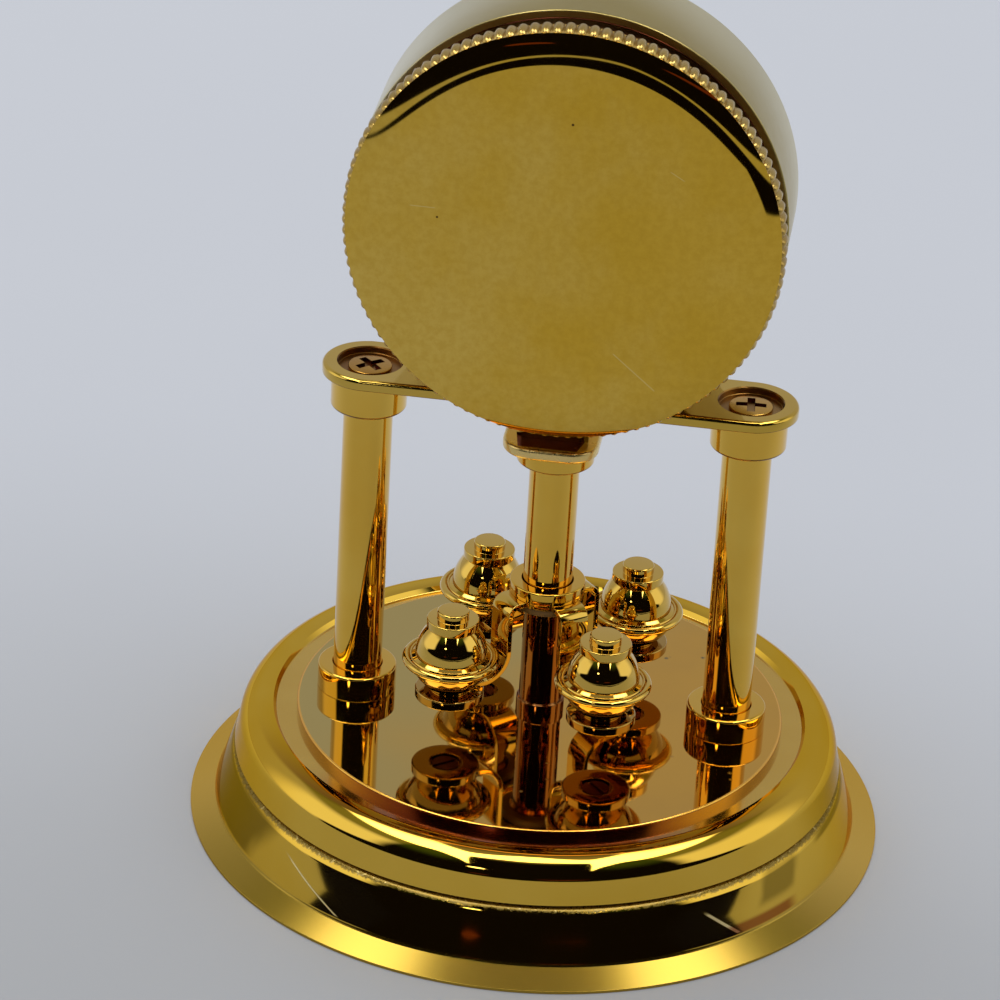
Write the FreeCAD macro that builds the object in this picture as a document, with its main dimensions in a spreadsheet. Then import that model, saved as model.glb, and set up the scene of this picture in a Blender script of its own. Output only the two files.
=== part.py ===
import FreeCAD, Part
import Sketcher
import math
import os
from types import SimpleNamespace

# A small rotary-pendulum desk clock. Millimetres, +Z up, origin at the centre of the base's underside.
# The dial faces -Y, the push-fit back cover faces +Y, and the two outer pillars stand along X.
# Each turned piece is a profile in its own XZ plane, turned about its own Z. Pieces of the drum are
# drawn with Z towards the dial and are then laid over by the drum's placement.

doc = FreeCAD.newDocument("desk_clock")
sheet = doc.addObject("Spreadsheet::Sheet", "Sizes")

driving_sizes = {
    # base, from the foot up
    "foot_radius": 29.0, "foot_edge": 0.25, "foot_land": 0.8, "lip_radius": 26.8, "lip_top": 1.2,
    "band_low_radius": 26.5, "band_low": 1.6, "band_high_radius": 25.68, "band_high": 5.1,
    "wall_foot_radius": 25.42, "wall_foot": 6.02, "wall_top_radius": 25.04, "wall_top": 7.92,
    "bead_side_radius": 24.6, "bead_side": 9.08, "bead_crown_radius": 23.5, "bead_crown": 9.58,
    "bead_inner_radius": 22.3, "bead_inner": 9.42, "groove_radius": 21.9, "groove_floor": 9.1,
    "shell_wall": 0.8, "lip_curve": 0.6, "band_curve": 14.0, "band_shoulder_curve": 1.4, "bead_curve": 1.75,
    "bead_side_curve": 1.4, "crown_curve": 3.0, "foot_land_rise": 0.15, "wall_drop": 0.3,
    "deck_radius": 20.32, "deck_top": 9.85, "deck_break": 0.15,
    "felt_radius": 25.4, "felt_under": 0.05, "felt_top": 0.9, "ballast_radius": 23.6, "ballast_chamfer": 0.8,
    # pillars, post and collars
    "pillar_offset": 15.57, "pillar_radius": 2.03, "post_radius": 2.05, "collar_bore": 2.07,
    "base_collar_radius": 3.3, "base_collar_tall": 2.2, "base_collar_chamfer": 0.3,
    "top_collar_radius": 3.12, "top_collar_foot": 36.1,
    "centre_collar_radius": 3.2, "centre_collar_foot": 33.0, "post_top": 34.5,
    "collar_break": 0.12,
    # bridge
    "ear_foot": 39.1, "ear_top": 40.05, "ear_radius": 3.9, "ear_sink_radius": 2.65,
    "ear_sink_deep": 0.6, "arm_start": 8.7, "arm_front": 3.0, "cradle_wall": 0.9,
    "cradle_gap": 0.03, "cradle_overlap": 0.4, "cover_room": 0.25,
    "boss_left": -3.65, "boss_right": 4.2, "boss_back": -3.9, "boss_front": 3.92, "boss_corner": 2.5,
    "boss_tall": 0.95, "pedestal_half": 2.75, "pedestal_front": 1.5, "pedestal_back": 3.2,
    "pedestal_tall": 1.6,
    # M2 screws
    "screw_radius": 0.97, "screw_hole": 1.1, "tapped_radius": 1.0, "screw_head_radius": 1.86,
    "screw_head_tall": 0.36, "cross_wide": 0.5, "cross_long": 2.1, "cross_deep": 0.26, "screw_bite": 4.2,
    "tapped_deep": 5.0, "pan_head_tall": 1.3, "pan_sink_radius": 2.3, "pan_sink_top": 3.0,
    "head_screw_radius": 1.8, "head_screw_tall": 0.6, "head_screw_rise": 0.12,
    # how far a cutting tool runs past the face that it cuts
    "tool_clear": 1.0,
    # drum
    "drum_height": 55.08, "body_radius": 17.46, "neck_radius": 16.8, "case_bore": 16.0,
    "case_front": 6.2, "neck_front": -1.01, "case_back": -3.6,
    "bezel_edge": 7.77, "bezel_front": 8.55, "bezel_crown_radius": 16.5, "bezel_opening": 14.6,
    "bezel_lip": 7.35, "bezel_curve": 1.2,
    "crystal_radius": 15.25, "crystal_fit": 0.05, "crystal_front": 6.75, "crystal_back": 6.05,
    "gasket_bore": 14.7, "gasket_back": 5.75, "flange_radius": 15.95, "flange_bore": 14.9,
    "dial_front": 4.0, "dial_wall": 0.4, "dial_radius": 15.9, "dial_hole": 1.1,
    "window_place": 11.6, "window_wide": 2.4, "window_tall": 1.7,
    # hands and arbors
    "hour_length": 7.6, "hour_low": 4.3, "minute_length": 11.6, "minute_low": 4.85, "hand_wall": 0.2,
    "hand_wide": 1.1, "hand_tail": 2.4, "hand_eye": 1.3, "pipe_radius": 0.95, "pipe_bore": 0.6,
    "arbor_radius": 0.54, "pipe_low": 3.0, "arbor_low": 1.95, "pipe_break": 0.05, "pipe_room": 0.1,
    "arbor_room": 0.3,
    # calendar ring, movement and power
    "date_outer": 13.2, "date_bore": 9.9, "date_low": 3.3, "date_wall": 0.2, "date_rest": 3.2,
    "holder_back": -0.7, "holder_seat_half": 9.35, "holder_notch": 13.9, "holder_notch_half": 8.0,
    "holder_fit": 0.05,
    "movement_half": 9.3, "movement_front": 3.15, "movement_back": -0.9, "movement_corner": 1.6,
    "cell_radius": 4.75, "cell_pocket": 4.85, "cell_back": -0.8, "cell_front": 1.25, "cell_rise": 3.9,
    "clip_wide": 3.0, "clip_wall": 0.2, "clip_long": 12.4,
    "knob_radius": 2.1, "knob_tall": 0.7, "knob_drop": 4.6, "stem_radius": 0.6, "stem_hole": 0.66,
    "stem_long": 1.2, "stem_room": 0.1, "knob_gap": 0.1, "knob_break": 0.2,
    # back cover, measured from the drum's centre plane towards the back
    "ring_tip": 17.68, "ring_root": 17.36, "ring_front": 3.64, "ring_back": 5.5, "cover_shoulder": 17.3,
    "shoulder_wide": 3.08, "shoulder_deep": 0.515, "shoulder_curve": 9.47, "cover_wall": 0.7,
    "spigot_radius": 15.95, "spigot_front": 1.95, "spigot_wall": 0.65, "ring_bore": 16.25,
    # pendulum
    "weight_orbit": 9.06, "pendulum_turn": 39.6, "arm_wall": 0.45, "arm_wide": 2.6, "arm_pad": 1.7,
    "hub_radius": 3.15, "hub_bore": 2.14, "hub_foot": 20.85, "hub_top": 21.95, "hub_round": 0.2,
    "arm_reach": 4.45, "arm_low": 13.9, "top_bend": 1.1, "low_bend": 2.5, "arm_hole": 0.65,
    "strip_inset": 0.3, "hub_inset": 0.1,
    "washer_radius": 2.9, "washer_foot": 19.7, "washer_top": 20.36,
    "bowl_radius": 3.25, "bowl_foot_radius": 2.15, "rim_radius": 4.0, "rim_low": 16.25, "rim_high": 16.95,
    "rim_curve": 0.37, "rim_dish": 0.2, "ridge_radius": 3.35, "ridge_half": 0.1,
    "dome_radius": 3.0, "dome_centre": 17.15, "bowl_curve": 3.2,
    "step_radius": 2.15, "step_top": 20.38, "button_radius": 1.32, "button_top": 21.1, "button_round": 0.2,
    "weight_foot_radius": 2.85, "weight_foot_under": 13.05, "foot_sink_radius": 1.4, "foot_sink": 0.45,
    "foot_break": 0.15, "slot_half_long": 1.3, "slot_half_wide": 0.17, "slot_top": 0.3, "head_recess": 0.1,
    "weight_screw_radius": 0.5, "weight_screw_head": 1.1, "weight_screw_top": 16.6, "weight_tap": 0.55,
    "weight_tap_top": 17.0,
}
ring_teeth = 116
weight_count = 4


class Size:
    # A length kept both as a number and as the spreadsheet expression that gives it.
    def __init__(self, number, text):
        self.number = number
        self.text = text

    def joined(self, sign, other, number):
        return Size(number, "(" + self.text + sign + other.text + ")")

    def __add__(self, other):
        other = as_size(other)
        return self.joined(" + ", other, self.number + other.number)

    def __sub__(self, other):
        other = as_size(other)
        return self.joined(" - ", other, self.number - other.number)

    def __mul__(self, other):
        other = as_size(other)
        return self.joined(" * ", other, self.number * other.number)

    def __truediv__(self, other):
        other = as_size(other)
        return self.joined(" / ", other, self.number / other.number)

    def __neg__(self):
        return as_size(0) - self


def as_size(value):
    if isinstance(value, Size):
        return value
    return Size(float(value), format(float(value), ".9f"))


def fill_sheet(sizes):
    # One row for each driving size: its name, and its value under an alias of the same name.
    for row, (name, value) in enumerate(sizes.items(), start=1):
        sheet.set("A" + str(row), name)
        sheet.set("B" + str(row), str(value))
        sheet.setAlias("B" + str(row), name)
    doc.recompute()
    return SimpleNamespace(**{name: Size(value, "Sizes." + name) for name, value in sizes.items()})


s = fill_sheet(driving_sizes)
nodes = []


def bind(thing, path, value):
    thing.setExpression(path, as_size(value).text)


def keep(piece):
    nodes.append(piece)
    return piece


def new_body(name):
    body = doc.addObject("PartDesign::Body", name)
    body.Label = name
    return keep(body)


def new_sketch(body, role, lift=None):
    sketch = body.newObject("Sketcher::SketchObject", body.Label + "_sketch")
    plane = next(item for item in body.Origin.OriginFeatures if item.Role == role)
    sketch.AttachmentSupport = [(plane, "")]
    sketch.MapMode = "FlatFace"
    if lift is not None:
        bind(sketch, "AttachmentOffset.Base.z", lift)
    return sketch


def pin_point(sketch, geometry, end, across, up):
    # Holds one point of a sketch at a place given by two sizes, a plain 0 meaning on the axis.
    for kind, value, axis in (("DistanceX", across, -2), ("DistanceY", up, -1)):
        if not isinstance(value, Size) and value == 0:
            sketch.addConstraint(Sketcher.Constraint("PointOnObject", geometry, end, axis))
        else:
            value = as_size(value)
            number = sketch.addConstraint(Sketcher.Constraint(kind, -1, 1, geometry, end, value.number))
            bind(sketch, "Constraints[" + str(number) + "]", value)


def arc_middle(start, finish, radius, side):
    # The middle of the arc from start to finish; side is 1 where its centre lies to the left.
    chord = finish - start
    half = chord.Length / 2
    height = math.sqrt(max(radius ** 2 - half ** 2, 0))
    left = FreeCAD.Vector(-chord.y, chord.x, 0).normalize()
    return start + chord * 0.5 + left * (side * (height - radius))


def outline(sketch, points):
    # A closed outline. A point is (across, up), or (across, up, radius, side) where an arc leaves it.
    places = [FreeCAD.Vector(as_size(p[0]).number, as_size(p[1]).number, 0) for p in points]
    starts = []
    ends = []
    for index, point in enumerate(points):
        start = places[index]
        finish = places[(index + 1) % len(places)]
        if len(point) == 2:
            edge = sketch.addGeometry(Part.LineSegment(start, finish))
            starts.append((edge, 1))
            ends.append((edge, 2))
            continue
        radius, side = as_size(point[2]), point[3]
        middle = arc_middle(start, finish, radius.number, side)
        first, last = (start, finish) if side > 0 else (finish, start)
        edge = sketch.addGeometry(Part.Arc(first, middle, last))
        starts.append((edge, 1 if side > 0 else 2))
        ends.append((edge, 2 if side > 0 else 1))
        number = sketch.addConstraint(Sketcher.Constraint("Radius", edge, radius.number))
        bind(sketch, "Constraints[" + str(number) + "]", radius)
    for index, point in enumerate(points):
        sketch.addConstraint(Sketcher.Constraint("Coincident", *ends[index - 1], *starts[index]))
        pin_point(sketch, *starts[index], point[0], point[1])


def circle(sketch, across, up, radius):
    radius = as_size(radius)
    centre = FreeCAD.Vector(as_size(across).number, as_size(up).number, 0)
    edge = sketch.addGeometry(Part.Circle(centre, FreeCAD.Vector(0, 0, 1), radius.number))
    number = sketch.addConstraint(Sketcher.Constraint("Radius", edge, radius.number))
    bind(sketch, "Constraints[" + str(number) + "]", radius)
    pin_point(sketch, edge, 3, across, up)


def rectangle(sketch, left, low, right, high):
    outline(sketch, [(left, low), (right, low), (right, high), (left, high)])


def turn(body, points):
    # Adds the solid that the profile sweeps once round the body's own Z.
    sketch = new_sketch(body, "XZ_Plane")
    outline(sketch, points)
    turning = body.newObject("PartDesign::Revolution", body.Label + "_turning")
    turning.Profile = sketch
    turning.ReferenceAxis = (sketch, ["V_Axis"])
    turning.Angle = 360
    body.Tip = turning
    return body


def pad(body, draw, low, high):
    # Adds the drawn outline between two heights.
    sketch = new_sketch(body, "XY_Plane", low)
    draw(sketch)
    feature = body.newObject("PartDesign::Pad", body.Label + "_pad")
    feature.Profile = sketch
    bind(feature, "Length", as_size(high) - low)
    body.Tip = feature
    return feature


def pocket(body, draw, low, high):
    # Cuts the drawn outline between two heights, downwards from the higher one.
    sketch = new_sketch(body, "XY_Plane", high)
    draw(sketch)
    feature = body.newObject("PartDesign::Pocket", body.Label + "_pocket")
    feature.Profile = sketch
    bind(feature, "Length", as_size(high) - low)
    body.Tip = feature
    return feature


def polar(body, features, count):
    # Repeats features about the body's own Z.
    pattern = body.newObject("PartDesign::PolarPattern", body.Label + "_pattern")
    pattern.Originals = features
    axis = next(item for item in body.Origin.OriginFeatures if item.Role == "Z_Axis")
    pattern.Axis = (axis, [""])
    pattern.Angle = 360
    pattern.Occurrences = count
    body.Tip = pattern
    return pattern


def place(piece, across=0, along=0, up=0):
    for letter, value in (("x", across), ("y", along), ("z", up)):
        bind(piece, "Placement.Base." + letter, value)
    return piece


def lay_in_drum(piece, across=0, rise=0):
    # Turns a piece so that its own Z points at the dial side, and puts it on the drum's axis.
    piece.Placement = FreeCAD.Placement(FreeCAD.Vector(), FreeCAD.Rotation(FreeCAD.Vector(1, 0, 0), 90))
    return place(piece, across, 0, s.drum_height + rise)


def disc(radius):
    return lambda sketch: circle(sketch, 0, 0, radius)


def ring_drawing(outer, inner):
    def draw(sketch):
        circle(sketch, 0, 0, outer)
        circle(sketch, 0, 0, inner)
    return draw


def three_holes(sketch):
    # Screw holes under the two pillars and the centre post.
    for across in (-s.pillar_offset, 0, s.pillar_offset):
        circle(sketch, across, 0, s.screw_hole)


def tube(name, outer, inner, low, high, chamfer):
    # A turned collar, its top and bottom outer edges broken by a small chamfer.
    return turn(new_body(name), [
        (inner, low), (outer - chamfer, low), (outer, low + chamfer),
        (outer, high - chamfer), (outer - chamfer, high), (inner, high)])


def cylinder(radius, tall, across=0, along=0, up=0):
    solid = doc.addObject("Part::Cylinder", "cylinder")
    bind(solid, "Radius", radius)
    bind(solid, "Height", tall)
    return place(solid, across, along, up)


def lying_cylinder(radius, along, tall):
    # A cylinder on the drum's axis, from a place on Y and on towards +Y.
    solid = doc.addObject("Part::Cylinder", "cylinder")
    bind(solid, "Radius", radius)
    bind(solid, "Height", tall)
    solid.Placement = FreeCAD.Placement(FreeCAD.Vector(), FreeCAD.Rotation(FreeCAD.Vector(1, 0, 0), -90))
    return place(solid, 0, along, s.drum_height)


def block(left, near, low, right, far, high):
    solid = doc.addObject("Part::Box", "block")
    for name, start, finish in (("Length", left, right), ("Width", near, far), ("Height", low, high)):
        bind(solid, name, as_size(finish) - start)
    return place(solid, left, near, low)


def rounded_block(left, near, low, right, far, high, corner):
    # The pieces of a block whose four upright edges are rounded.
    pieces = [block(left + corner, near, low, right - corner, far, high),
              block(left, near + corner, low, right, far - corner, high)]
    for across in (left + corner, right - corner):
        for along in (near + corner, far - corner):
            pieces.append(cylinder(corner, high - low, across, along, low))
    return pieces


def cut(base, tool):
    result = doc.addObject("Part::Cut", "cut")
    result.Base = base
    result.Tool = tool
    return result


def fuse(pieces):
    result = doc.addObject("Part::MultiFuse", "fusion")
    result.Shapes = pieces
    return result


def group(name, pieces):
    # Identical loose pieces kept together under one name.
    result = doc.addObject("Part::Compound", name)
    result.Links = pieces
    result.Label = name
    return keep(result)


def base_shell():
    under = s.groove_floor - s.shell_wall
    body = turn(new_body("base_shell"), [
        (0, under), (s.bead_crown_radius, under),
        (s.wall_top_radius - s.shell_wall, s.wall_top - s.wall_drop),
        (s.wall_foot_radius - s.shell_wall, s.wall_foot), (s.band_high_radius - s.shell_wall, s.band_high),
        (s.band_low_radius - s.shell_wall, s.band_low), (s.foot_radius - s.foot_land, s.foot_land_rise),
        (s.foot_radius - s.foot_land, 0), (s.foot_radius, 0), (s.foot_radius, s.foot_edge),
        (s.lip_radius, s.lip_top, s.lip_curve, -1), (s.band_low_radius, s.band_low, s.band_curve, 1),
        (s.band_high_radius, s.band_high, s.band_shoulder_curve, 1), (s.wall_foot_radius, s.wall_foot),
        (s.wall_top_radius, s.wall_top, s.bead_curve, 1),
        (s.bead_side_radius, s.bead_side, s.bead_side_curve, 1),
        (s.bead_crown_radius, s.bead_crown, s.crown_curve, 1), (s.bead_inner_radius, s.bead_inner),
        (s.groove_radius, s.groove_floor), (0, s.groove_floor)])
    pocket(body, three_holes, under, s.groove_floor)


def deck_plate():
    body = turn(new_body("deck_plate"), [
        (0, s.groove_floor), (s.deck_radius, s.groove_floor), (s.deck_radius, s.deck_top - s.deck_break),
        (s.deck_radius - s.deck_break, s.deck_top), (0, s.deck_top)])
    pocket(body, three_holes, s.groove_floor, s.deck_top)


def base_weight():
    # A steel disc that makes the light shell stable, sunk for the screw heads.
    under = s.groove_floor - s.shell_wall
    body = turn(new_body("base_weight"), [
        (0, s.felt_top), (s.ballast_radius, s.felt_top), (s.ballast_radius, under - s.ballast_chamfer),
        (s.ballast_radius - s.ballast_chamfer, under), (0, under)])
    pocket(body, three_holes, s.felt_top, under)

    def sinks(sketch):
        for across in (-s.pillar_offset, 0, s.pillar_offset):
            circle(sketch, across, 0, s.pan_sink_radius)
    pocket(body, sinks, s.felt_top, s.pan_sink_top)


def base_felt_pad():
    turn(new_body("base_felt_pad"), [
        (0, s.felt_under), (s.felt_radius, s.felt_under), (s.felt_radius, s.felt_top), (0, s.felt_top)])


def cross_cutters(top, across=0):
    # Two crossed bars that cut a screw's cross recess.
    long, wide = s.cross_long / 2, s.cross_wide / 2
    low = as_size(top) - s.cross_deep
    return [block(as_size(across) - long, -wide, low, as_size(across) + long, wide, top),
            block(as_size(across) - wide, -long, low, as_size(across) + wide, long, top)]


def screw(across, head_low, head_tall, head_radius, tip, driven_from_above):
    # A screw on a vertical axis with its cross recess cut into the outer face of the head.
    head = cylinder(head_radius, head_tall, across, 0, head_low)
    if driven_from_above:
        shank = cylinder(s.screw_radius, as_size(head_low) - tip, across, 0, tip)
        face = as_size(head_low) + head_tall
    else:
        start = as_size(head_low) + head_tall
        shank = cylinder(s.screw_radius, as_size(tip) - start, across, 0, start)
        face = as_size(head_low) + s.cross_deep
    return cut(fuse([head, shank]), fuse(cross_cutters(face, across)))


def base_screws():
    low = s.pan_sink_top - s.pan_head_tall
    group("base_screws", [
        screw(across, low, s.pan_head_tall, s.screw_head_radius, s.deck_top + s.screw_bite, False)
        for across in (-s.pillar_offset, as_size(0), s.pillar_offset)])


def column(name, across, radius, top):
    # A round column tapped at both ends for a screw.
    body = turn(new_body(name), [(0, s.deck_top), (radius, s.deck_top), (radius, top), (0, top)])
    pocket(body, disc(s.tapped_radius), s.deck_top, s.deck_top + s.tapped_deep)
    pocket(body, disc(s.tapped_radius), as_size(top) - s.tapped_deep, top)
    place(body, across)


def columns_and_collars():
    # The dial side is -Y, so seen from there the left pillar is the one at -X.
    for side, across in (("left", -s.pillar_offset), ("right", s.pillar_offset)):
        column(side + "_pillar", across, s.pillar_radius, s.ear_foot)
        place(tube(side + "_base_collar", s.base_collar_radius, s.collar_bore, s.deck_top,
                   s.deck_top + s.base_collar_tall, s.base_collar_chamfer), across)
        place(tube(side + "_top_collar", s.top_collar_radius, s.collar_bore, s.top_collar_foot, s.ear_foot,
                   s.collar_break), across)
    column("centre_post", 0, s.post_radius, s.post_top)
    tube("centre_top_collar", s.centre_collar_radius, s.collar_bore, s.centre_collar_foot, s.post_top,
         s.collar_break)


def bridge():
    # Two flat arms with round ears, a curved cradle under the drum, and a pedestal on a square boss.
    cradle_inner = s.body_radius + s.cradle_gap
    cradle_outer = cradle_inner + s.cradle_wall
    depth = s.ear_radius + s.arm_front
    sector = doc.addObject("Part::Common", "cradle")
    sector.Base = lying_cylinder(cradle_outer, -s.ear_radius, depth)
    half = s.arm_start + s.cradle_overlap
    sector.Tool = block(-half, -s.ear_radius, s.post_top, half, s.arm_front, s.ear_top)
    boss_top = s.post_top + s.boss_tall
    solids = [sector, block(-s.pedestal_half, -s.pedestal_back, boss_top,
                            s.pedestal_half, s.pedestal_front, boss_top + s.pedestal_tall)]
    solids += rounded_block(s.boss_left, s.boss_back, s.post_top, s.boss_right, s.boss_front, boss_top,
                            s.boss_corner)
    thick = s.ear_top - s.ear_foot
    for side in (-1, 1):
        ear = s.pillar_offset * side
        low, high = (ear, -s.arm_start) if side < 0 else (s.arm_start, ear)
        solids.append(cylinder(s.ear_radius, thick, ear, 0, s.ear_foot))
        solids.append(block(low, -s.ear_radius, s.ear_foot, high, s.ear_radius, s.ear_top))
    clear = s.tool_clear
    holes = [lying_cylinder(cradle_inner, -s.ear_radius - clear, depth + clear * 2),
             lying_cylinder(s.ring_tip + s.cover_room, s.arm_front, s.ear_radius),
             cylinder(s.screw_hole, s.boss_tall + s.pedestal_tall + s.cradle_wall + clear * 2, 0, 0,
                      s.post_top - clear)]
    for side in (-1, 1):
        ear = s.pillar_offset * side
        holes.append(cylinder(s.screw_hole, thick + clear * 2, ear, 0, s.ear_foot - clear))
        holes.append(cylinder(s.ear_sink_radius, s.ear_sink_deep + clear, ear, 0,
                              s.ear_top - s.ear_sink_deep))
    piece = cut(fuse(solids), fuse(holes))
    piece.Label = "bridge"
    keep(piece)


def upper_screws():
    low = s.ear_top - s.ear_sink_deep
    group("bridge_screws", [
        screw(across, low, s.screw_head_tall, s.screw_head_radius, s.ear_foot - s.screw_bite, True)
        for across in (-s.pillar_offset, s.pillar_offset)])
    low = s.drum_height - s.case_bore + s.head_screw_rise
    fixing = screw(as_size(0), low, s.head_screw_tall, s.head_screw_radius, s.post_top - s.screw_bite, True)
    fixing.Label = "head_screw"
    keep(fixing)


def case_shell():
    body = turn(new_body("case_shell"), [
        (s.case_bore, s.case_back), (s.neck_radius, s.case_back), (s.neck_radius, s.neck_front),
        (s.body_radius, s.neck_front), (s.body_radius, s.case_front), (s.case_bore, s.case_front)])
    lay_in_drum(body)
    hole = cylinder(s.screw_hole, s.body_radius - s.case_bore + s.tool_clear * 2, 0, 0,
                    s.drum_height - s.body_radius - s.tool_clear)
    nodes.remove(body)
    body.Label = "case_tube"
    piece = cut(body, hole)
    piece.Label = "case_shell"
    keep(piece)


def front_bezel():
    lay_in_drum(turn(new_body("front_bezel"), [
        (s.crystal_radius + s.crystal_fit, s.case_front), (s.body_radius, s.case_front),
        (s.body_radius, s.bezel_edge, s.bezel_curve, 1), (s.bezel_crown_radius, s.bezel_front),
        (s.bezel_opening, s.bezel_lip), (s.bezel_opening, s.crystal_front),
        (s.crystal_radius + s.crystal_fit, s.crystal_front)]))


def glazing():
    lay_in_drum(turn(new_body("crystal"), [
        (0, s.crystal_back), (s.crystal_radius, s.crystal_back), (s.crystal_radius, s.crystal_front),
        (0, s.crystal_front)]))
    lay_in_drum(turn(new_body("crystal_gasket"), [
        (s.gasket_bore, s.gasket_back), (s.crystal_radius, s.gasket_back),
        (s.crystal_radius, s.crystal_back), (s.gasket_bore, s.crystal_back)]))
    lay_in_drum(turn(new_body("inner_flange"), [
        (s.flange_bore, s.dial_front), (s.flange_radius, s.dial_front),
        (s.flange_radius, s.gasket_back), (s.flange_bore, s.gasket_back)]))


def dial():
    body = new_body("dial")
    back = s.dial_front - s.dial_wall
    pad(body, ring_drawing(s.dial_radius, s.dial_hole), back, s.dial_front)

    def window(sketch):
        rectangle(sketch, s.window_place - s.window_wide / 2, -s.window_tall / 2,
                  s.window_place + s.window_wide / 2, s.window_tall / 2)
    pocket(body, window, back, s.dial_front)
    lay_in_drum(body)


def date_ring():
    body = new_body("date_ring")
    pad(body, ring_drawing(s.date_outer, s.date_bore), s.date_low, s.date_low + s.date_wall)
    lay_in_drum(body)


def hand(name, length, low, hole):
    # A pointed hand that shows twelve o'clock, with a round eye and a short tail.
    body = new_body(name)
    wide = s.hand_wide / 2
    tail = wide * 0.45
    neck = wide * 0.7
    neck_place = length * 0.72

    def blade(sketch):
        outline(sketch, [(-wide, 0), (-tail, -s.hand_tail), (tail, -s.hand_tail), (wide, 0),
                         (neck, neck_place), (0, length), (-neck, neck_place)])
    pad(body, blade, low, low + s.hand_wall)
    pad(body, disc(s.hand_eye), low, low + s.hand_wall)
    pocket(body, disc(hole), low, low + s.hand_wall)
    lay_in_drum(body)


def hands():
    hand("hour_hand", s.hour_length, s.hour_low, s.pipe_radius)
    hand("minute_hand", s.minute_length, s.minute_low, s.arbor_radius)
    pipe_top = s.hour_low + s.hand_wall
    lay_in_drum(tube("hour_pipe", s.pipe_radius, s.pipe_bore, s.pipe_low, pipe_top, s.pipe_break))
    lay_in_drum(turn(new_body("minute_arbor"), [
        (0, s.arbor_low), (s.arbor_radius, s.arbor_low), (s.arbor_radius, s.minute_low + s.hand_wall),
        (0, s.minute_low + s.hand_wall)]))


def movement_holder():
    # A plastic ring with a square seat for the movement and a flat that clears the case screw.
    body = new_body("movement_holder")
    pad(body, disc(s.case_bore - s.holder_fit), s.holder_back, s.date_rest)
    half = s.holder_seat_half

    def seat(sketch):
        rectangle(sketch, -half, -half, half, half)
    pocket(body, seat, s.holder_back, s.date_rest)

    def flat(sketch):
        rectangle(sketch, -s.holder_notch_half, -s.case_bore - s.tool_clear,
                  s.holder_notch_half, -s.holder_notch)
    pocket(body, flat, s.holder_back, s.date_rest)
    lay_in_drum(body)


def movement_housing():
    body = new_body("movement_housing")
    half, corner = s.movement_half, s.movement_corner

    def plan(sketch):
        flat = half - corner
        outline(sketch, [(-flat, -half), (flat, -half, corner, 1), (half, -flat), (half, flat, corner, 1),
                         (flat, half), (-flat, half, corner, 1), (-half, flat), (-half, -flat, corner, 1)])
    pad(body, plan, s.movement_back, s.movement_front)
    pocket(body, disc(s.pipe_radius + s.pipe_room), s.arbor_low - s.arbor_room, s.movement_front)
    pocket(body, lambda sketch: circle(sketch, 0, s.cell_rise, s.cell_pocket), s.movement_back, s.cell_front)
    pocket(body, lambda sketch: circle(sketch, 0, -s.knob_drop, s.stem_hole), s.movement_back,
           s.movement_back + s.stem_long + s.stem_room)
    lay_in_drum(body)


def power():
    body = new_body("battery_cell")
    pad(body, disc(s.cell_radius), s.cell_back, s.cell_front)
    lay_in_drum(body, 0, s.cell_rise)
    body = new_body("battery_clip")
    half, long = s.clip_wide / 2, s.clip_long / 2
    pad(body, lambda sketch: rectangle(sketch, -long, -half, long, half), s.movement_back - s.clip_wall,
        s.movement_back)
    lay_in_drum(body, 0, s.cell_rise)


def setting_knob():
    face = s.movement_back - s.knob_gap
    back = face - s.knob_tall
    tip = s.movement_back + s.stem_long
    lay_in_drum(turn(new_body("setting_knob"), [
        (0, back), (s.knob_radius - s.knob_break, back), (s.knob_radius, back + s.knob_break),
        (s.knob_radius, face), (s.stem_radius, face), (s.stem_radius, tip), (0, tip)]), 0, -s.knob_drop)


def back_cover():
    # A shallow push-fit cap: a spigot that fits the case, a coin-edged ring, and a gently rounded
    # shoulder that runs into the flat face. Its own Z points at the dial, so the back lies at
    # negative heights.
    body = new_body("back_cover")
    flat_radius = s.cover_shoulder - s.shoulder_wide
    face = -(s.ring_back + s.shoulder_deep)
    bore = s.spigot_radius - s.spigot_wall
    turn(body, [
        (0, face), (0, face + s.cover_wall), (bore - s.cover_wall, face + s.cover_wall),
        (bore, -s.ring_front),
        (bore, -s.spigot_front), (s.spigot_radius, -s.spigot_front),
        (s.spigot_radius, -s.ring_front),
        (s.cover_shoulder, -s.ring_front), (s.cover_shoulder, -s.ring_back, s.shoulder_curve, -1),
        (flat_radius, face)])
    tooth = 2 * math.pi / ring_teeth
    tooth_line = ((0, s.ring_root), (0.22, s.ring_root), (0.5, s.ring_tip), (0.72, s.ring_tip))

    def teeth(sketch):
        # The outer line runs from root to tip and back once for each tooth.
        points = []
        for index in range(ring_teeth):
            for share, radius in tooth_line:
                angle = tooth * (index + share)
                points.append(FreeCAD.Vector(math.cos(angle), math.sin(angle), 0) * radius.number)
        for start, finish in zip(points, points[1:] + points[:1]):
            sketch.addGeometry(Part.LineSegment(start, finish))
        circle(sketch, 0, 0, s.ring_bore)
    pad(body, teeth, -s.ring_back, -s.ring_front)
    lay_in_drum(body)


def turn_pendulum(piece, angle=0, reach=None):
    # Puts a piece at the pendulum's resting angle, and out on the circle of the weights if asked.
    heading = s.pendulum_turn.number + angle
    piece.Placement = FreeCAD.Placement(FreeCAD.Vector(), FreeCAD.Rotation(FreeCAD.Vector(0, 0, 1), heading))
    if reach is not None:
        bearing = "(Sizes.pendulum_turn + " + str(angle) + ") * 1 deg"
        piece.setExpression("Placement.Base.x", reach.text + " * cos(" + bearing + ")")
        piece.setExpression("Placement.Base.y", reach.text + " * sin(" + bearing + ")")
    return piece


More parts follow.
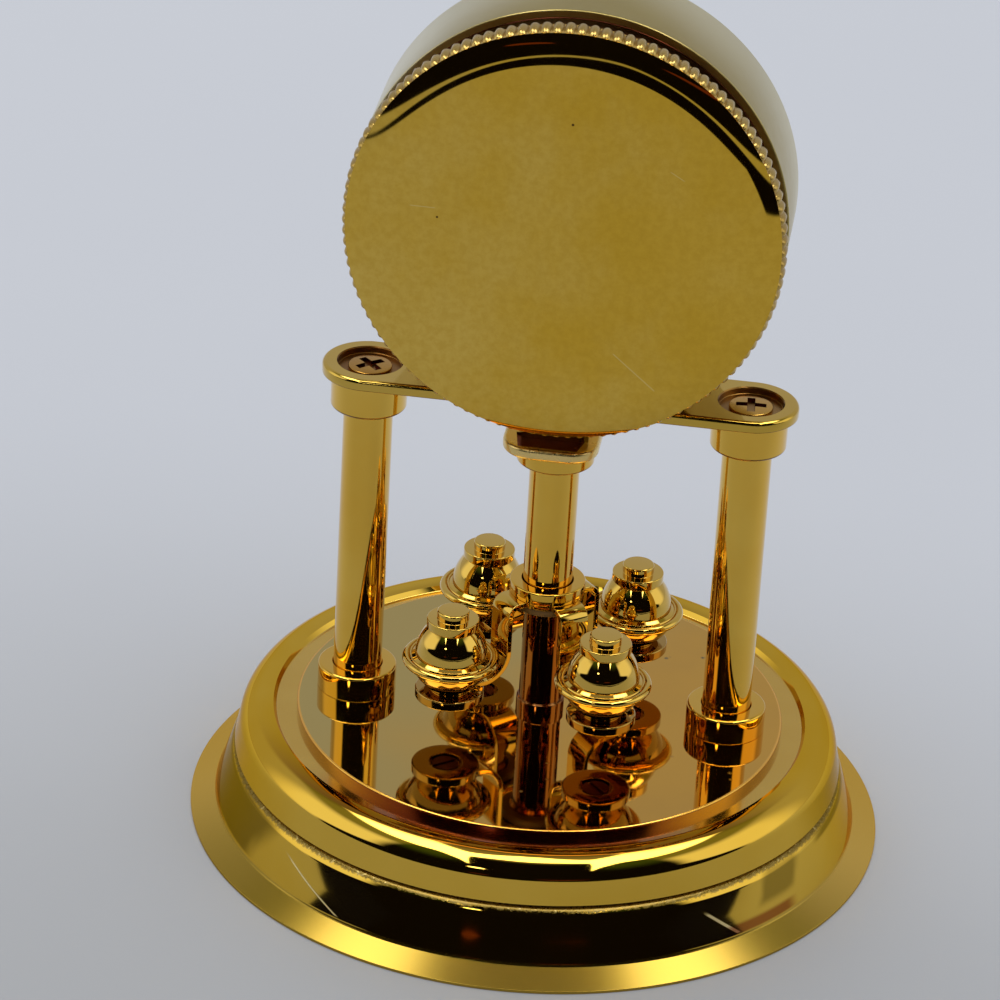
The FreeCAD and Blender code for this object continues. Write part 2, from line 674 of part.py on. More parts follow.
def pendulum_spider():
    # One stamping: a ring on the post and four strips that turn down and then out under the weights.
    body = new_body("pendulum_spider")
    wall, high, low = s.arm_wall, s.hub_foot, s.arm_low
    outer, inner = s.arm_reach, s.arm_reach - s.arm_wall
    sketch = new_sketch(body, "XZ_Plane")
    outline(sketch, [
        (s.hub_bore + s.strip_inset, high - wall), (outer - s.top_bend, high - wall, s.top_bend - wall, -1),
        (inner, high - s.top_bend), (inner, low + s.low_bend, s.low_bend, 1),
        (inner + s.low_bend, low), (s.weight_orbit, low), (s.weight_orbit, low + wall),
        (inner + s.low_bend, low + wall, s.low_bend - wall, -1), (outer, low + s.low_bend),
        (outer, high - s.top_bend, s.top_bend, 1), (outer - s.top_bend, high),
        (s.hub_bore + s.strip_inset, high)])
    strip = body.newObject("PartDesign::Pad", "spider_strip")
    strip.Profile = sketch
    strip.Midplane = True
    bind(strip, "Length", s.arm_wide)
    body.Tip = strip
    end = pad(body, lambda sketch: circle(sketch, s.weight_orbit, 0, s.arm_pad), low, low + wall)
    hole = pocket(body, lambda sketch: circle(sketch, s.weight_orbit, 0, s.arm_hole), low, low + wall)
    polar(body, [strip, end, hole], weight_count)
    pad(body, ring_drawing(s.hub_radius - s.hub_inset, s.hub_bore), high - wall, high)
    pocket(body, disc(s.hub_bore), high - wall, high)
    turn_pendulum(body)


def pendulum_hub():
    turn_pendulum(tube("pendulum_hub", s.hub_radius, s.hub_bore, s.hub_foot, s.hub_top, s.hub_round))


def weight_body(number, angle):
    step_foot = s.dome_centre.number + math.sqrt(s.dome_radius.number ** 2 - s.step_radius.number ** 2)
    body = turn(new_body("weight_body_" + str(number)), [
        (0, s.arm_low + s.arm_wall), (s.bowl_foot_radius, s.arm_low + s.arm_wall, s.bowl_curve, 1),
        (s.bowl_radius, s.rim_low), (s.rim_radius - s.rim_curve, s.rim_low, s.rim_curve, 1),
        (s.rim_radius - s.rim_curve, s.rim_high), (s.ridge_radius + s.ridge_half, s.rim_high - s.rim_dish),
        (s.ridge_radius - s.ridge_half, s.rim_high), (s.dome_radius, s.dome_centre, s.dome_radius, 1),
        (s.step_radius, step_foot), (s.step_radius, s.step_top), (s.button_radius, s.step_top),
        (s.button_radius, s.button_top - s.button_round), (s.button_radius - s.button_round, s.button_top),
        (0, s.button_top)])
    pocket(body, disc(s.weight_tap), s.arm_low + s.arm_wall, s.weight_tap_top)
    turn_pendulum(body, angle, s.weight_orbit)


def weight_foot(number, angle):
    under, outer, edge = s.weight_foot_under, s.weight_foot_radius, s.foot_break
    body = turn(new_body("weight_foot_" + str(number)), [
        (s.arm_hole, under + s.foot_sink), (s.foot_sink_radius, under + s.foot_sink),
        (s.foot_sink_radius, under), (outer - edge, under), (outer, under + edge), (outer, s.arm_low - edge),
        (outer - edge, s.arm_low), (s.arm_hole, s.arm_low)])
    turn_pendulum(body, angle, s.weight_orbit)


def weight_screw(angle):
    under = s.weight_foot_under
    seat = under + s.foot_sink
    head = cylinder(s.weight_screw_head, s.foot_sink - s.head_recess, 0, 0, under + s.head_recess)
    shank = cylinder(s.weight_screw_radius, s.weight_screw_top - seat, 0, 0, seat)
    long, wide = s.slot_half_long, s.slot_half_wide
    slot = block(-long, -wide, under, long, wide, under + s.slot_top)
    return turn_pendulum(cut(fuse([head, shank]), slot), angle, s.weight_orbit)


def pendulum():
    pendulum_spider()
    pendulum_hub()
    tube("thrust_washer", s.washer_radius, s.collar_bore, s.washer_foot, s.washer_top, s.collar_break)
    angles = [360 * index / weight_count for index in range(weight_count)]
    for number, angle in enumerate(angles, start=1):
        weight_body(number, angle)
        weight_foot(number, angle)
    group("weight_screws", [weight_screw(angle) for angle in angles])


def main():
    base_shell()
    deck_plate()
    base_weight()
    base_felt_pad()
    base_screws()
    columns_and_collars()
    bridge()
    upper_screws()
    case_shell()
    front_bezel()
    glazing()
    dial()
    date_ring()
    hands()
    movement_holder()
    movement_housing()
    power()
    setting_knob()
    back_cover()
    pendulum()
    doc.recompute()
    failed = [item.Label for item in doc.Objects if "Invalid" in item.State or "Error" in item.State]
    for piece in nodes:
        if piece.Shape.isNull() or not piece.Shape.isValid():
            failed.append(piece.Label)
    if failed:
        raise SystemExit("failed: " + ", ".join(sorted(set(failed))))
    os.makedirs("parts", exist_ok=True)
    for piece in nodes:
        piece.Shape.exportStep("parts/" + piece.Label + ".step")
        print(piece.Label, len(piece.Shape.Solids), "solids", round(piece.Shape.Volume, 2), "mm3")
    print(len(nodes), "nodes")


main()
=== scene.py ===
import math

import bpy
from mathutils import Matrix, Vector


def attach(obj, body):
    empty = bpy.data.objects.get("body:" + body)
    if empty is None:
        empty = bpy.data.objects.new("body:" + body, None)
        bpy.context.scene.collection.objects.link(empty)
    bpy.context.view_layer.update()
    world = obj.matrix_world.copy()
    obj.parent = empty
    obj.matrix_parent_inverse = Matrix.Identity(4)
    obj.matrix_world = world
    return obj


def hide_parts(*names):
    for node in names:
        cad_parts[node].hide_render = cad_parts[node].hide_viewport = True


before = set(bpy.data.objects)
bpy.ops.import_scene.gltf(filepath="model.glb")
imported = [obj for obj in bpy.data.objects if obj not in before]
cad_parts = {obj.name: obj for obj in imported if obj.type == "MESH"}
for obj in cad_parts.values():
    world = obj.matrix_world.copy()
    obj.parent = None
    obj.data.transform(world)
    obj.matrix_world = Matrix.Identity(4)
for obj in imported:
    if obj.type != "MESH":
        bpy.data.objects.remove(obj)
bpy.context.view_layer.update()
mm = 0.001
# In millimetres: the drum's axis above the desk, the gap that closes up, and what counts as touching.
drumHeight = 55.08
mergeGap = 0.002
hair = 0.001


# Making and finishing pieces

def objectMode():
    bpy.ops.object.mode_set(mode="OBJECT")


def editMode():
    bpy.ops.object.mode_set(mode="EDIT")


def selectAll():
    bpy.ops.mesh.select_all(action="SELECT")


def applyPlace():
    bpy.ops.object.transform_apply(location=True, rotation=True, scale=True)


def mergeClose():
    bpy.ops.mesh.remove_doubles(threshold=mergeGap * mm)


def faceOutwards():
    selectAll()
    bpy.ops.mesh.normals_make_consistent(inside=False)
    objectMode()


def freshStart():
    if bpy.context.object is not None and bpy.context.object.mode != "OBJECT":
        objectMode()
    bpy.ops.object.select_all(action="DESELECT")


def activate(piece):
    freshStart()
    piece.select_set(True)
    bpy.context.view_layer.objects.active = piece


def named(name):
    piece = bpy.context.object
    piece.name = name
    piece.data.name = name
    return piece


def pick(piece, kind, test):
    # Selects the corners that pass the test, or the edges or faces whose corners all do. The test is
    # given each corner's place in millimetres.
    activate(piece)
    editMode()
    bpy.ops.mesh.select_mode(type=kind)
    bpy.ops.mesh.select_all(action="DESELECT")
    objectMode()
    mesh = piece.data
    spots = [piece.matrix_world @ vertex.co / mm for vertex in mesh.vertices]
    if kind == "VERT":
        for vertex in mesh.vertices:
            vertex.select = test(spots[vertex.index])
    elif kind == "EDGE":
        for edge in mesh.edges:
            edge.select = all(test(spots[index]) for index in edge.vertices)
    else:
        for face in mesh.polygons:
            face.select = all(test(spots[index]) for index in face.vertices)
    editMode()


def rounded(corners, closed=False, stepAngle=9):
    # An outline of (radius, along) corners. A third number rounds its corner to that radius.
    points = []
    count = len(corners)
    for index, corner in enumerate(corners):
        here = Vector(corner[:2])
        if len(corner) == 2:
            points.append(here)
            continue
        before = (Vector(corners[index - 1][:2]) - here).normalized()
        after = (Vector(corners[(index + 1) % count][:2]) - here).normalized()
        half = before.angle(after) / 2
        centre = here + (before + after).normalized() * corner[2] / math.sin(half)
        spoke = here + before * corner[2] / math.tan(half) - centre
        turn = math.pi - 2 * half
        way = 1 if before.x * after.y - before.y * after.x < 0 else -1
        steps = max(2, round(math.degrees(turn) / stepAngle))
        for step in range(steps + 1):
            points.append(centre + Matrix.Rotation(way * turn * step / steps, 2) @ spoke)
    if closed:
        points.append(points[0])
    return points


def section(bore, radius, low, high, rounds=(0, 0, 0, 0)):
    # The outline of a disc, or of a ring if there is a bore, with the rounds of its four corners in turn.
    corners = ((bore, low), (radius, low), (radius, high), (bore, high))
    corners = [(*corner, size) if size else corner for corner, size in zip(corners, rounds)]
    return rounded(corners, closed=bore > 0)


def bulge(start, turns, stepAngle=4):
    # Arcs that follow on from one another: each is (first lean, last lean, radius), the lean being
    # the surface's own angle above the horizontal in degrees.
    points = [Vector(start)]
    for first, last, radius in turns:
        centre = points[-1] - Vector((math.cos(math.radians(first)), math.sin(math.radians(first)))) * radius
        steps = max(2, round(abs(last - first) / stepAngle))
        for step in range(1, steps + 1):
            lean = math.radians(first + (last - first) * step / steps)
            points.append(centre + Vector((math.cos(lean), math.sin(lean))) * radius)
    return points


def chain(name, spots):
    # Edges through the given places, left selected in edit mode.
    freshStart()
    bpy.ops.mesh.primitive_plane_add(size=mm, location=spots[0])
    piece = named(name)
    editMode()
    bpy.ops.mesh.select_mode(type="VERT")
    selectAll()
    bpy.ops.mesh.merge(type="CENTER")
    for here, there in zip(spots, spots[1:]):
        bpy.ops.mesh.extrude_vertices_move(TRANSFORM_OT_translate={"value": there - here})
    selectAll()
    return piece


def turned(name, outline, axis="Z", centre=(0, 0, 0), steps=192):
    # A piece turned on an upright axis, or on the drum's axis for Y. The outline is (radius, along).
    x, y, z = centre
    if axis == "Z":
        spots = [Vector((x + radius, y, z + along)) * mm for radius, along in outline]
    else:
        spots = [Vector((x, y + along, z - radius)) * mm for radius, along in outline]
    piece = chain(name, spots)
    bpy.ops.mesh.spin(steps=steps, angle=math.tau, center=Vector(centre) * mm,
                      axis=(0, 0, 1) if axis == "Z" else (0, 1, 0))
    selectAll()
    mergeClose()
    faceOutwards()
    applyPlace()
    return piece


def metres(run):
    return tuple(part * mm for part in run)


def extrude(run):
    bpy.ops.mesh.extrude_region_move(TRANSFORM_OT_translate={"value": metres(run)})


def shift(run):
    bpy.ops.transform.translate(value=metres(run))


def drumTurned(name, outline, steps=256):
    return turned(name, outline, "Y", (0, 0, drumHeight), steps)


def fromAxis(spot):
    return math.hypot(spot.x, spot.y)


def fromDrum(spot):
    return math.hypot(spot.x, spot.z - drumHeight)


def addModifier(piece, kind, settings):
    activate(piece)
    bpy.ops.object.modifier_add(type=kind)
    modifier = piece.modifiers[-1]
    for key, value in settings.items():
        setattr(modifier, key, value)
    bpy.ops.object.modifier_apply(modifier=modifier.name)


def carve(piece, tool, operation="DIFFERENCE"):
    addModifier(piece, "BOOLEAN", {"object": tool, "operation": operation, "solver": "EXACT"})
    bpy.data.objects.remove(tool)


def joined(name, pieces):
    freshStart()
    for piece in pieces:
        piece.select_set(True)
    bpy.context.view_layer.objects.active = pieces[0]
    bpy.ops.object.join()
    return named(name)


def copied(piece, name, turn=0, move=(0, 0, 0)):
    # A copy with its own mesh, turned about the upright axis through the origin and then moved.
    activate(piece)
    bpy.ops.object.duplicate(linked=False)
    other = named(name)
    other.rotation_euler = (0, 0, turn)
    other.location = Vector(move) * mm
    applyPlace()
    return other


def block(name, low, high):
    # A box between two corners, ready to be shaped.
    freshStart()
    low, high = Vector(low) * mm, Vector(high) * mm
    bpy.ops.mesh.primitive_cube_add(size=1, location=(low + high) / 2)
    piece = named(name)
    piece.scale = high - low
    applyPlace()
    return piece


def bevelled(piece, test, radius, segments):
    # Rounds the edges whose two ends pass the test.
    pick(piece, "EDGE", test)
    bpy.ops.mesh.bevel(offset=radius * mm, segments=segments, affect="EDGES", clamp_overlap=True)
    objectMode()
    return piece


def clad(piece, *names):
    piece.data.materials.clear()
    for name in names:
        piece.data.materials.append(finishes[name])


def tinted(piece, finish, *others):
    # One finish all over, and others, each with a test, on the faces whose middles pass, in millimetres.
    activate(piece)
    applyPlace()
    clad(piece, finish, *others[::2])
    for face in piece.data.polygons:
        passed = [slot for slot, test in enumerate(others[1::2], 1) if test(face.center / mm)]
        face.material_index = passed[0] if passed else 0


def settle(piece, finish, body, slotName, *nodes, sharp=32):
    # Smooths the piece, gives it its finish, and lets it ride in place of the nodes.
    activate(piece)
    applyPlace()
    bpy.ops.object.shade_smooth_by_angle(angle=math.radians(sharp))
    addModifier(piece, "WEIGHTED_NORMAL", {"keep_sharp": True})
    if finish is not None:
        clad(piece, finish)
    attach(piece, body)
    if nodes:
        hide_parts(*nodes)
    return piece


# Finishes

class Wire:
    # A shader socket that adds its own Math nodes where it stands in a sum.
    def __init__(self, tree, socket=None):
        self.tree = tree
        self.socket = socket

    def node(self, kind, settings=None, sockets=None, output=0):
        made = self.tree.nodes.new(kind)
        for key, value in (settings or {}).items():
            setattr(made, key, value)
        for key, value in (sockets or {}).items():
            if isinstance(value, Wire):
                self.tree.links.new(value.socket, made.inputs[key])
            else:
                made.inputs[key].default_value = value
        return Wire(self.tree, made.outputs[output])

    def maths(self, operation, first, second=0.0):
        return self.node("ShaderNodeMath", {"operation": operation}, {0: first, 1: second})

    def by(self, operation, second=0.0):
        return self.maths(operation, self, second)

    def size(self):
        return self.by("ABSOLUTE")

    def parts(self):
        # The three lengths of a vector.
        return [self.node("ShaderNodeSeparateXYZ", {}, {"Vector": self}, letter) for letter in "XYZ"]

    def __add__(self, other):
        return self.by("ADD", other)

    def __sub__(self, other):
        return self.by("SUBTRACT", other)

    def __rsub__(self, other):
        return self.maths("SUBTRACT", other, self)

    def __mul__(self, other):
        return self.by("MULTIPLY", other)

    def __truediv__(self, other):
        return self.by("DIVIDE", other)

    def __lt__(self, other):
        return self.by("LESS_THAN", other)

    __radd__ = __add__
    __rmul__ = __mul__

    def ramp(self, low, high, first=0.0, last=1.0):
        # Runs smoothly from first to last while this value runs from low to high.
        return self.node("ShaderNodeMapRange", {"interpolation_type": "SMOOTHSTEP"},
                         {"Value": self, "From Min": low, "From Max": high, "To Min": first, "To Max": last})

    def within(self, start, full, fade, end):
        # Rises from start to full and falls again from fade to end.
        return self.ramp(start, full) * self.ramp(end, fade)

    def mixed(self, first, second):
        # Two colours mixed by this value.
        return self.node("ShaderNodeMix", {"data_type": "RGBA"}, {"Factor": self, 6: first, 7: second}, 2)


def colour(red, green, blue):
    return (red, green, blue, 1)


def grey(level):
    return colour(level, level, level)


def millimetres(place):
    return [part / mm for part in place.parts()]


def reachOf(across, along):
    return (across * across + along * along).by("SQRT")


def noise(place, scale, detail=3, roughness=0.55, stretch=None):
    if stretch is not None:
        place = place.node("ShaderNodeMapping", {}, {"Vector": place, "Scale": stretch})
    return place.node("ShaderNodeTexNoise", {}, {"Vector": place, "Scale": scale, "Detail": detail,
                                                 "Roughness": roughness})


def freshTree(block):
    # Empties the nodes of a material or a world.
    block.use_nodes = True
    block.node_tree.nodes.clear()
    return Wire(block.node_tree)


def endTree(block, kind, shader):
    output = block.node_tree.nodes.new(kind)
    block.node_tree.links.new(shader.socket, output.inputs["Surface"])


def makeMaterial(name, recipe):
    material = bpy.data.materials.new(name)
    start = freshTree(material)
    place = start.node("ShaderNodeTexCoord", output="Object")
    endTree(material, "ShaderNodeOutputMaterial", recipe(start, place))
    return material


brassSizes = {
    "fine": 900, "wipes": 260, "dust": 620.0, "dustPatch": 150, "dustColour": (0.16, 0.13, 0.06),
    "roughSpread": 0.5, "bump": 0.12, "bumpHeight": 0.0001, "coatRough": 0.04,
}


def brass(base, worn, rough, patch=60, scratch=0.02, speck=0.0, brushed=(1, 1, 0.12), marks=None, lacquer=0.5,
          edge=(1, 1, 1), lean=None):
    # Lacquered brass: two close colours in soft patches, fine wipe marks, and dust specks if any. The
    # marks are a function that changes the colour and roughness from place to place, real marks and
    # painted light alike, and the lean is one that adds to the height.
    d = brassSizes

    def recipe(start, place):
        clouds = noise(place, patch, 4, 0.6).ramp(0.35, 0.68)
        shade = clouds.mixed(colour(*base), colour(*worn))
        fine = noise(place, d["fine"], 2, 0.5)
        wipes = noise(place, d["wipes"], 3, 0.6, brushed)
        spread = d["roughSpread"]
        roughness = (clouds * 0.4 + fine * 0.6) * (rough * spread) + rough * (1 - spread / 2)
        height = wipes * scratch + fine * (scratch * 0.15)
        if speck:
            dots = start.node("ShaderNodeTexVoronoi", {}, {"Vector": place, "Scale": d["dust"]})
            keep = noise(place, d["dustPatch"], 2, 0.5).ramp(0.56, 0.66)
            dust = dots.ramp(0.17, 0.05) * keep * speck
            shade = dust.mixed(shade, colour(*d["dustColour"]))
            roughness = roughness + dust * 0.6
        if marks is not None:
            shade, roughness = marks(place, shade, roughness)
        if lean is not None:
            height = height + lean(place)
        bump = start.node("ShaderNodeBump", {}, {"Height": height, "Strength": d["bump"],
                                                 "Distance": d["bumpHeight"]})
        return start.node("ShaderNodeBsdfPrincipled", {}, {
            "Base Color": shade, "Metallic": 1.0, "Roughness": roughness, "Normal": bump,
            "Coat Weight": lacquer, "Coat Roughness": d["coatRough"], "Specular Tint": colour(*edge)})
    return recipe


# Widths are (start, full, fade, end), in degrees of bearing about the upright axis or in millimetres.
bandSizes = {
    "leanFrom": 1.5, "leanTo": 5.4, "leanSlope": -3.7, "shoulder": (5.35, 5.55, 5.86, 6.0),
    # painted colours: the dull shoulder with its painted glints, a painted dark reflection on the crown, and
    # the lip's paler sides and darker front, painted reflections
    "matt": (0.22, 0.14, 0.025), "glint": (0.60, 0.45, 0.16), "crown": (0.34, 0.15, 0.014),
    "lipTop": (1.5, 1.3), "lipSide": (0.80, 0.52, 0.12), "lipFront": (0.40, 0.265, 0.04),
    # each dark streak, a painted dark reflection: its bearings, its heights, its strength
    "slant": 1.6, "wander": 16,
    "paintedDarkStreaks": [((55, 60, 96, 104), (1.4, 1.7, 5.2, 5.5), 0.75),
                ((-56, -52, -46, -43), (2.6, 3.4, 5.2, 5.6), 0.6),
                ((-90, -84, -66, -60), (4.6, 4.9, 5.2, 5.5), 0.7)],
    "paintedStreakColour": (0.14, 0.085, 0.008),
    # each thin pale arc, a painted reflection: degrees of lean to a millimetre of height, and the bearing of
    # its foot
    "paintedArcs": [(5.7, 19.9), (2.77, -50.2)], "arcRise": (1.5, 1.7, 3.6, 4.3), "paintedArcColour": (0.85, 0.70, 0.35),
    # a ruddy patch that is a painted reddish reflection, and a dim stretch of wall that is a painted dark
    # reflection
    "ruddy": ((-62, -58, -45, -41), (1.4, 1.6, 2.1, 2.5)), "ruddyColour": (0.30, 0.055, 0.012),
    "dim": (-60, -85), "dimRise": (5.9, 6.1, 7.9, 8.2), "dimColour": (0.22, 0.14, 0.012),
}


def bandLean(place):
    # Tips the band's normals up by about 2.5 degrees, so that it mirrors a little higher.
    d = bandSizes
    up = millimetres(place)[2]
    return up.by("MAXIMUM", d["leanFrom"]).by("MINIMUM", d["leanTo"]) * d["leanSlope"]


def baseMarks(place, shade, roughness):
    # A rougher shoulder above the band, painted dull with painted glints, and painted reflections: a dark one
    # on the inner crown, a lip paler at the sides and darker at the front, dark streaks, two thin pale arcs,
    # a ruddy patch on the band and a dim stretch of wall.
    d = bandSizes
    across, along, up = millimetres(place)
    reach = reachOf(across, along)
    bearing = across.by("ARCTAN2", along) * (180 / math.pi)
    grain = noise(place, 3600, 2, 0.6).ramp(0.35, 0.65)
    glint = noise(place, 2300, 1, 0.5).ramp(0.66, 0.72)
    ripple = noise(place, 90, 3, 0.6, (1, 1, 0.5)) - 0.5

    # The shoulder is rougher, and painted dull with painted glints.
    start, full, fade, end = d["shoulder"]
    shoulder = (up + grain * 0.12).ramp(start, full) * up.ramp(end, fade) * reach.ramp(24.9, 25.1)
    matt = (glint * 0.7 + grain * 0.2).mixed(colour(*d["matt"]), colour(*d["glint"]))
    shade = shoulder.mixed(shade, matt)
    roughness = roughness + shoulder * (grain * 0.1 + 0.22)
    # A painted dark reflection on the front of the inner crown.
    crown = reach.ramp(23.95, 23.6) * up.ramp(9.2, 9.4) * along.ramp(6, 19)
    shade = crown.mixed(shade, colour(*d["crown"]))
    # The lip is rougher, and painted paler at the sides and darker at the front as painted reflections.
    lip = up.ramp(*d["lipTop"])
    shade = (lip * across.size().ramp(13, 27)).mixed(shade, colour(*d["lipSide"]))
    shade = (lip * along.ramp(2, 18) * 0.9).mixed(shade, colour(*d["lipFront"]))
    roughness = roughness + lip * 0.16

    # Dark streaks: painted dark reflections.
    slanted = bearing + up * d["slant"] + ripple * d["wander"]
    paintedDarkStreaks = sum(slanted.within(*wide) * up.within(*tall) * strength for wide, tall,
                  strength in d["paintedDarkStreaks"])
    shade = paintedDarkStreaks.mixed(shade, colour(*d["paintedStreakColour"]))
    # Two thin pale arcs: painted reflections, also rougher.
    paintedArcs = sum((bearing - up * lean - foot).size().ramp(0.6, 0.25) for lean, foot in d["paintedArcs"])
    paintedArcs = paintedArcs * up.within(*d["arcRise"])
    shade = paintedArcs.mixed(shade, colour(*d["paintedArcColour"]))
    roughness = roughness + paintedArcs * 0.3
    # A ruddy patch: a painted reddish reflection.
    wide, tall = d["ruddy"]
    shade = (bearing.within(*wide) * up.within(*tall) * 0.8).mixed(shade, colour(*d["ruddyColour"]))
    # A dim stretch of wall: a painted dark reflection.
    dim = bearing.ramp(*d["dim"]) * up.within(*d["dimRise"])
    shade = (dim * 0.55).mixed(shade, colour(*d["dimColour"]))
    return shade, roughness


def frontTint(*tint):
    # A redder painted reflection that grows towards the back cover's side.
    def marks(place, shade, roughness):
        return millimetres(place)[1].ramp(12, 20).mixed(shade, colour(*tint)), roughness
    return marks


coverMarkSizes = {
    "pale": (0.82, 0.55, 0.10), "deep": (0.58, 0.33, 0.02), "scratch": (0.90, 0.70, 0.28),
    "dot": (0.12, 0.06, 0.01),
    # (start, end, half its width) and (across, rise, radius), from the drum's axis
    "scratches": [((-4.66, -9.23), (-8.21, -12.16), 0.07), ((12.09, 1.79), (10.02, 1.77), 0.06),
                  ((-9.3, 6.2), (-8.1, 6.9), 0.05)],
    "dots": [(-0.34, 9.97, 0.13), (9.91, 1.01, 0.11)],
}


def stroke(across, rise, start, end, half):
    # A straight scratch between two places on the cover's face.
    run = Vector(end) - Vector(start)
    step = run.normalized()
    far, off = across - start[0], rise - start[1]
    away = (far * step.y - off * step.x).size()
    travel = far * step.x + off * step.y
    return away.ramp(half, half * 0.4) * travel.within(-0.1, 0.1, run.length - 0.2, run.length)


def coverMarks(place, shade, roughness):
    # Cloudy patches, paler low down and towards one side, with a few scratches and two dark dots.
    d = coverMarkSizes
    across, _, up = millimetres(place)
    rise = up - drumHeight
    clouds = noise(place, 55, 5, 0.62) + noise(place, 260, 3, 0.6, (1, 1, 0.5)) * 0.35
    pale = (clouds + across * 0.007 - rise * 0.007).ramp(0.48, 0.95)
    shade = pale.mixed(shade, colour(*d["pale"]))
    fine = noise(place, 1500, 3, 0.65).ramp(0.3, 0.7)
    shade = (fine * 0.35).mixed(shade, colour(*d["deep"]))
    lines = sum(stroke(across, rise, *scratch) for scratch in d["scratches"])
    shade = (lines * 0.45).mixed(shade, colour(*d["scratch"]))
    for middle, high, wide in d["dots"]:
        far, off = across - middle, rise - high
        dot = (far * far + off * off).ramp(wide * wide, wide * wide * 0.4)
        shade = dot.mixed(shade, colour(*d["dot"]))
    return shade, roughness + pale * 0.03


def postMarks(place, shade, roughness):
    # Browner where the hub shades the post.
    return millimetres(place)[2].ramp(20.9, 20.0).mixed(shade, colour(0.30, 0.12, 0.02)), roughness


def satinMarks(place, shade, roughness):
    # The satin is painted paler away from the cover and towards both sides, less so low down on one side,
    # as a painted sheen.
    across, along, up = millimetres(place)
    low = (across * -1 - up * 0.4).ramp(-20, -5) * 0.6
    pale = ((across + 1.5).size() * 0.05 - along * 0.09 - 0.15 - low).ramp(0.0, 1.0)
    return pale.mixed(shade, colour(0.74, 0.68, 0.47)), roughness


def deckMarks(place, shade, roughness):
    # The colour is greyer on one side and towards the back, and the rim is painted bright orange as a
    # painted highlight.
    across, along = millimetres(place)[:2]
    dull = (across * 0.045 - along * 0.02 + noise(place, 45, 3, 0.55) * 0.9 - 0.1).ramp(0.0, 0.95)
    shade = dull.mixed(shade, colour(0.56, 0.41, 0.11))
    # The rim's painted highlight, a little rougher.
    rim = reachOf(across, along).ramp(20.1, 20.18)
    return rim.mixed(shade, colour(0.95, 0.50, 0.07)), roughness + rim * 0.2


def plastic(base, rough, grain=1500, spread=0.08):
    # Moulded plastic, rubber or paint: a fine grain and a slight unevenness of colour.
    def recipe(start, place):
        clouds = noise(place, 140, 3)
        darker = tuple(part * (1 - spread * 2) for part in base)
        shade = clouds.ramp(0.3, 0.7).mixed(colour(*base), colour(*darker))
        fine = noise(place, grain, 2)
        bump = start.node("ShaderNodeBump", {}, {"Height": fine, "Strength": 0.15, "Distance": 0.00005})
        roughness = fine * 0.15 + (rough - 0.07)
        return start.node("ShaderNodeBsdfPrincipled", {}, {
            "Base Color": shade, "Roughness": roughness, "Normal": bump})
    return recipe


def feltRecipe(start, place):
    tufts = noise(place, 2600, 4, 0.7)
    clouds = noise(place, 120, 3)
    shade = (tufts * 0.7 + clouds * 0.3).ramp(0.35, 0.65)
    shade = shade.mixed(colour(0.012, 0.05, 0.028), colour(0.03, 0.11, 0.06))
    bump = start.node("ShaderNodeBump", {}, {"Height": tufts, "Strength": 0.6, "Distance": 0.0002})
    return start.node("ShaderNodeBsdfPrincipled", {}, {
        "Base Color": shade, "Roughness": 0.95, "Sheen Weight": 0.3, "Normal": bump})


def glassRecipe(start, place):
    smear = noise(place, 90, 3).ramp(0.5, 0.8)
    return start.node("ShaderNodeBsdfPrincipled", {}, {
        "Base Color": colour(0.97, 0.99, 0.99), "Roughness": smear * 0.04, "Transmission Weight": 1.0,
        "IOR": 1.5})


